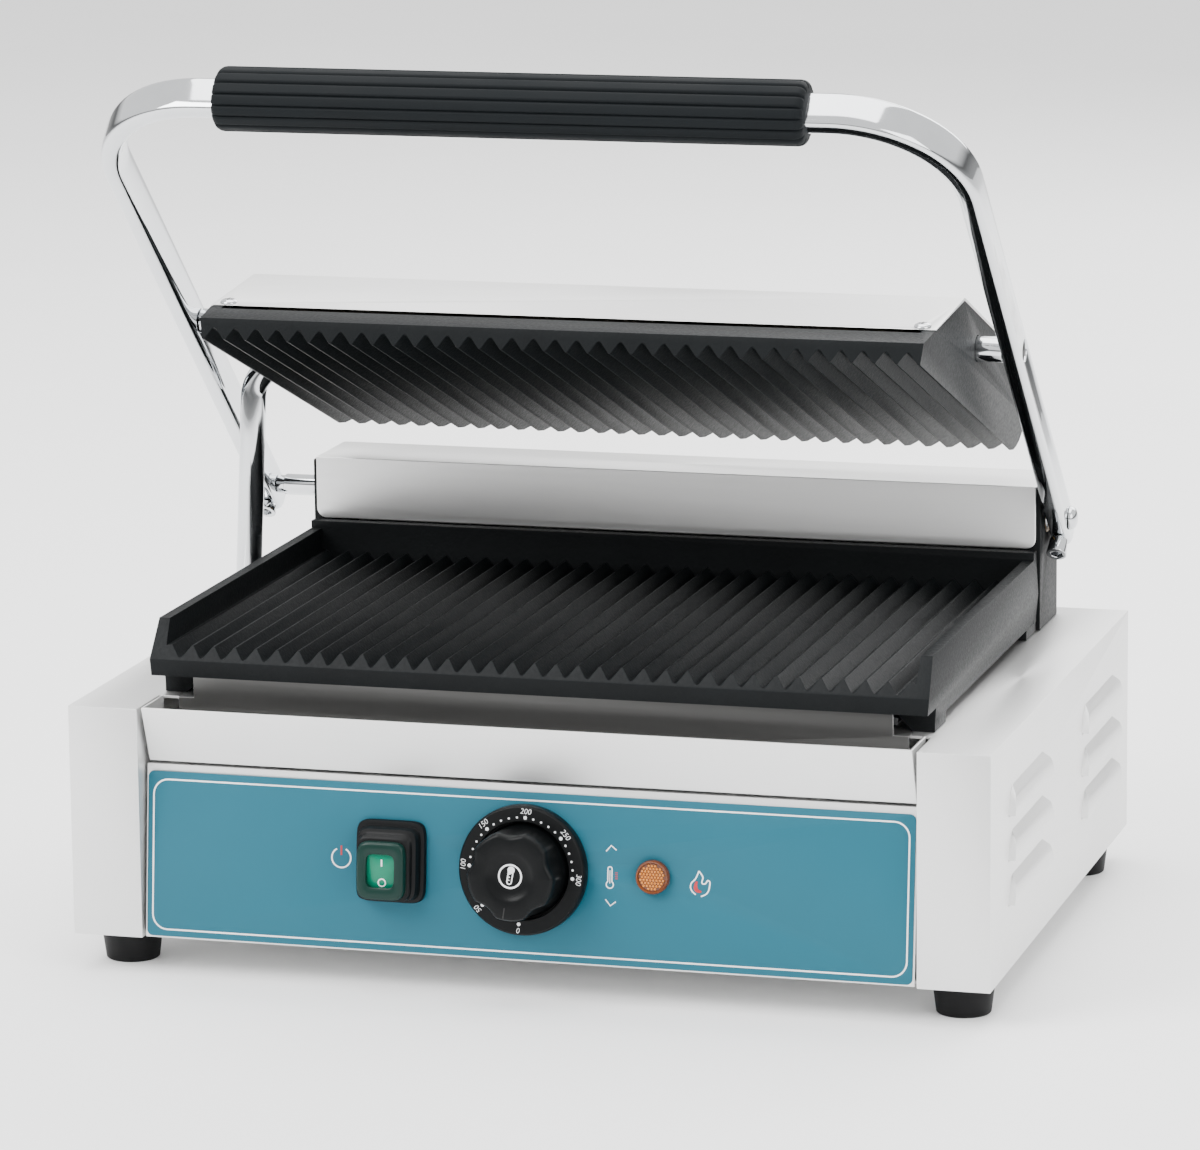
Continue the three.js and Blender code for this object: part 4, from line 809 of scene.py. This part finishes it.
def buildLamp():
    r = lamp["radius"]
    profile = [(5.0, 1.25), *[(r - inset, level) for inset, level in lamp["rim"]], (1.0, 3.5)]
    bm = tower(roundRings(profile), 64)
    finishPiece(bm, "lampRim", "amberRim", "base", ("lamp_lens",), onPanel(lamp["place"]), 40)
    bm = bmesh.new()
    rows = int(lamp["field"] / lamp["pitch"]) + 1
    for row in range(-rows, rows + 1):
        for column in range(-rows - 1, rows + 2):
            x = lamp["pitch"] * (column + 0.5 * (row % 2))
            y = lamp["pitch"] * 0.866 * row
            if math.hypot(x, y) < lamp["field"] - 0.3:
                bmesh.ops.create_icosphere(
                    bm, subdivisions=2, radius=lamp["bead"], matrix=Matrix.Translation((x, y, 0)))
    finishPiece(bm, "lampPrisms", "amber", "base", (),
                onPanel(lamp["place"], lamp["beadLevel"]), 40)
    print("lamp done")


# printed marks on the overlay

overlayPrint = {
    "line": 0.75, "corner": 7.0, "left": -177.5, "right": 176.5, "low": -38.2, "high": 31.1, "level": 0.93,
    "power": (-87.0, -0.1), "thermometer": (39.6, -1.6), "flame": (81.1, -1.9),
    "flameLeft": ((-1.7, -5.1), (-3.7, -3.0), (-4.0, -0.6), (-1.9, 2.1), (-0.3, 5.7)),
    "flameRight": ((-0.3, 5.7), (1.5, 2.9), (1.3, 0.2), (2.6, 0.1), (4.1, 1.6), (4.6, -1.4), (3.3, -4.4),
                   (0.8, -5.7)),
    "crescent": ((-1.1, 1.0), (-2.5, -1.0), (-2.3, -3.0), (-0.6, -4.1), (1.0, -3.6), (-0.5, -2.6),
                 (-1.0, -0.8)),
}


def buildPrints():
    p = overlayPrint
    corner = p["corner"]
    left, right = p["left"] + corner, p["right"] - corner
    low, high = p["low"] + corner, p["high"] - corner
    outline = []
    for centre, start in (((right, high), 0), ((left, high), 90), ((left, low), 180), ((right, low), 270)):
        outline += arc(centre, corner, start, start + 90, 8)

    def near(place, points):
        return [(place[0] + x, place[1] + y) for x, y in points]

    power, thermometer, flame = p["power"], p["thermometer"], p["flame"]
    tube = arc((0, 3.9), 0.95, 0, 180, 10) + arc((0, -3.2), 1.65, 125, 415, 24)
    white = [
        inkLine(outline, p["line"], True),
        inkLine(near(power, arc((0, 0), 4.5, 118, 422, 40)), 0.7),
        inkLine([(37.7, 10.2), (40.0, 12.9), (42.5, 10.9)], 0.55),
        inkLine([(37.7, -11.6), (40.0, -14.4), (42.5, -12.4)], 0.55),
        inkLine(near(thermometer, tube), 0.5, True),
        inkLine(near(thermometer, [(0, -2.6), (0, 3.2)]), 0.35),
        inkLine(near(flame, p["flameLeft"]), 0.62, False, True),
        inkLine(near(flame, p["flameRight"]), 0.62, False, True),
    ]
    printed("overlayPrint", white, "print", "base", onPanel((0, 0), p["level"]))
    red = [
        inkLine(near(power, [(0, 1.2), (0, 5.6)]), 0.8),
        *[inkLine(near(thermometer, [(2.4, y), (3.6, y)]), 0.35) for y in (-0.4, 0.5, 1.4, 2.3)],
        inkFill(near(flame, p["crescent"]), True),
    ]
    printed("overlayRedPrint", red, "redPrint", "base", onPanel((0, 0), p["level"]))
    print("prints done")


# feet, conduit and small pieces

foot = {
    "profile": ((5.2, 6.8), (5.2, 0.4), (5.6, 0.0), (11.7, 0.0), (12.4, 0.6), (14.1, 13.6), (14.4, 16.0),
                (14.0, 16.6), (2.4, 16.6), (2.4, 6.8)),
}


def buildFeet():
    for row in ("front", "rear"):
        for side in ("left", "right"):
            node = row + "_" + side + "_foot"
            low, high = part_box(node)
            centre = (low + high) / 2
            bm = hollowTower(roundRings(foot["profile"]))
            finishPiece(bm, row + side.capitalize() + "Foot", "rubber", "base", (node,),
                        Matrix.Translation((centre.x, centre.y, 0)), 40)
    print("feet done")


conduit = {
    "radius": 6.2, "wall": 1.3, "bend": 17.0, "bendSteps": 14, "along": 44.6, "below": -10.4,
    "tilt": 20.65, "rake": 12.25, "drop": 141.0,
}


def buildConduit():
    low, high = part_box("conduit_tube")
    c = conduit
    centreX = low.x / mm + c["radius"]
    startX = high.x / mm
    bm = bmesh.new()
    bmesh.ops.create_circle(bm, cap_ends=False, radius=c["radius"], segments=36)
    bmesh.ops.rotate(bm, cent=(0, 0, 0), matrix=Matrix.Rotation(math.pi / 2, 3, "Y"), verts=bm.verts)
    bmesh.ops.translate(bm, vec=(startX, 0, 0), verts=bm.verts)
    sweepLoop(bm, list(bm.edges), [
        ("go", (centreX + c["bend"] - startX, 0, 0)),
        ("turn", (centreX + c["bend"], 0, -c["bend"]), (0, 1, 0), -90, c["bendSteps"]),
        ("go", (0, 0, c["bend"] - c["drop"])),
    ])
    hang = Matrix.Rotation(math.radians(c["rake"]), 4, "X")
    tilt = Matrix.Rotation(math.radians(-c["tilt"]), 4, "X")
    place = (Matrix.Translation((0, pivotPlace.y, pivotPlace.z)) @ tilt
             @ Matrix.Translation((0, c["along"] * mm, c["below"] * mm)) @ hang)
    piece = finishPiece(bm, "conduitTube", "chrome", "upper", ("conduit_tube",), place, 50)
    wall = piece.modifiers.new("wall", "SOLIDIFY")
    wall.thickness = c["wall"] * mm
    wall.offset = -1
    softened("conduit_nut", "chrome", 0.5, 3)
    softened("conduit_grommet", "rubber", 0.5, 3)
    softened("cord_gland", "dial", 0.5, 3)
    print("conduit done")


screwHead = {
    "radius": 4.0, "slot": 0.55, "slotHalf": 1.7, "slotLevel": 1.98, "sunk": 0.2,
    "coverRun": 54.1, "coverRise": 26.2,  # the cover's front slope that the screws stand on
}


def buildCoverScrews():
    for side in ("left", "right"):
        node = side + "_cover_screw"
        low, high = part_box(node)
        centre = (low + high) / 2
        lean = math.radians(-conduit["tilt"]) + math.atan2(screwHead["coverRise"], screwHead["coverRun"])
        out = Vector((0, -math.sin(lean), math.cos(lean)))
        r, half, slot = screwHead["radius"], screwHead["slotHalf"], screwHead["slot"]
        profile = [(1.6, -2.0), (1.6, 0.0), (r, 0.0), (r, 0.5), (0.9 * r, 1.2), (0.65 * r, 1.75),
                   (0.3 * r, 2.0)]
        place = turnedTo(out, centre - out * screwHead["sunk"] * mm)
        finishPiece(tower(roundRings(profile), 32), side + "CoverScrew", "chrome", "upper",
                    (node,), place, 40)
        # painted shade: the cross recess in each screw head is a flat near-black mark
        cross = [inkLine([(-half, 0), (half, 0)], slot), inkLine([(0, -half), (0, half)], slot)]
        printed(side + "ScrewCross", cross, "recessShade", "upper",
                place @ Matrix.Translation((0, 0, screwHead["slotLevel"] * mm)))
    print("cover screws done")


keptNodes = {
    "zinc": ("lower_heat_shield", "thermostat_body", "thermostat_shaft", "left_torsion_spring",
             "right_torsion_spring", "front_left_foot_screw", "front_right_foot_screw",
             "rear_left_foot_screw", "rear_right_foot_screw"),
    "sheath": ("lower_heater", "upper_heater"),
    "bronze": ("thermostat_bulb",),
    "wool": ("upper_insulation",),
    "nylon": ("lamp_body", "terminal_block"),
    "dial": ("switch_body",),
}


def dressKeptNodes():
    for finish, nodes in keptNodes.items():
        for node in nodes:
            data = frame["nodes"][node].data
            data.materials.clear()
            data.materials.append(finishes[finish])


floorPlane = {"half": 8, "grey": 0.94, "roughness": 0.7}


def buildFloor():
    bm = bmesh.new()
    bmesh.ops.create_grid(bm, x_segments=1, y_segments=1, size=floorPlane["half"])
    mesh = bpy.data.meshes.new("floor")
    bm.to_mesh(mesh)
    bm.free()
    floor = bpy.data.objects.new("floor", mesh)
    bpy.context.scene.collection.objects.link(floor)
    finish = Finish("paleFloor", [floorPlane["grey"]] * 3, 0.0, floorPlane["roughness"])
    finish.tint(finish.noise(3), 0.99, 1.01)
    mesh.materials.append(finish.material)


placeCamera()
lightStudio()
buildFloor()
buildHousing()
buildPlates()
buildBail()
buildHardware()
buildDial()
buildSwitch()
buildLamp()
buildPrints()
buildFeet()
buildConduit()
buildCoverScrews()
dressKeptNodes()
print("pieces done")
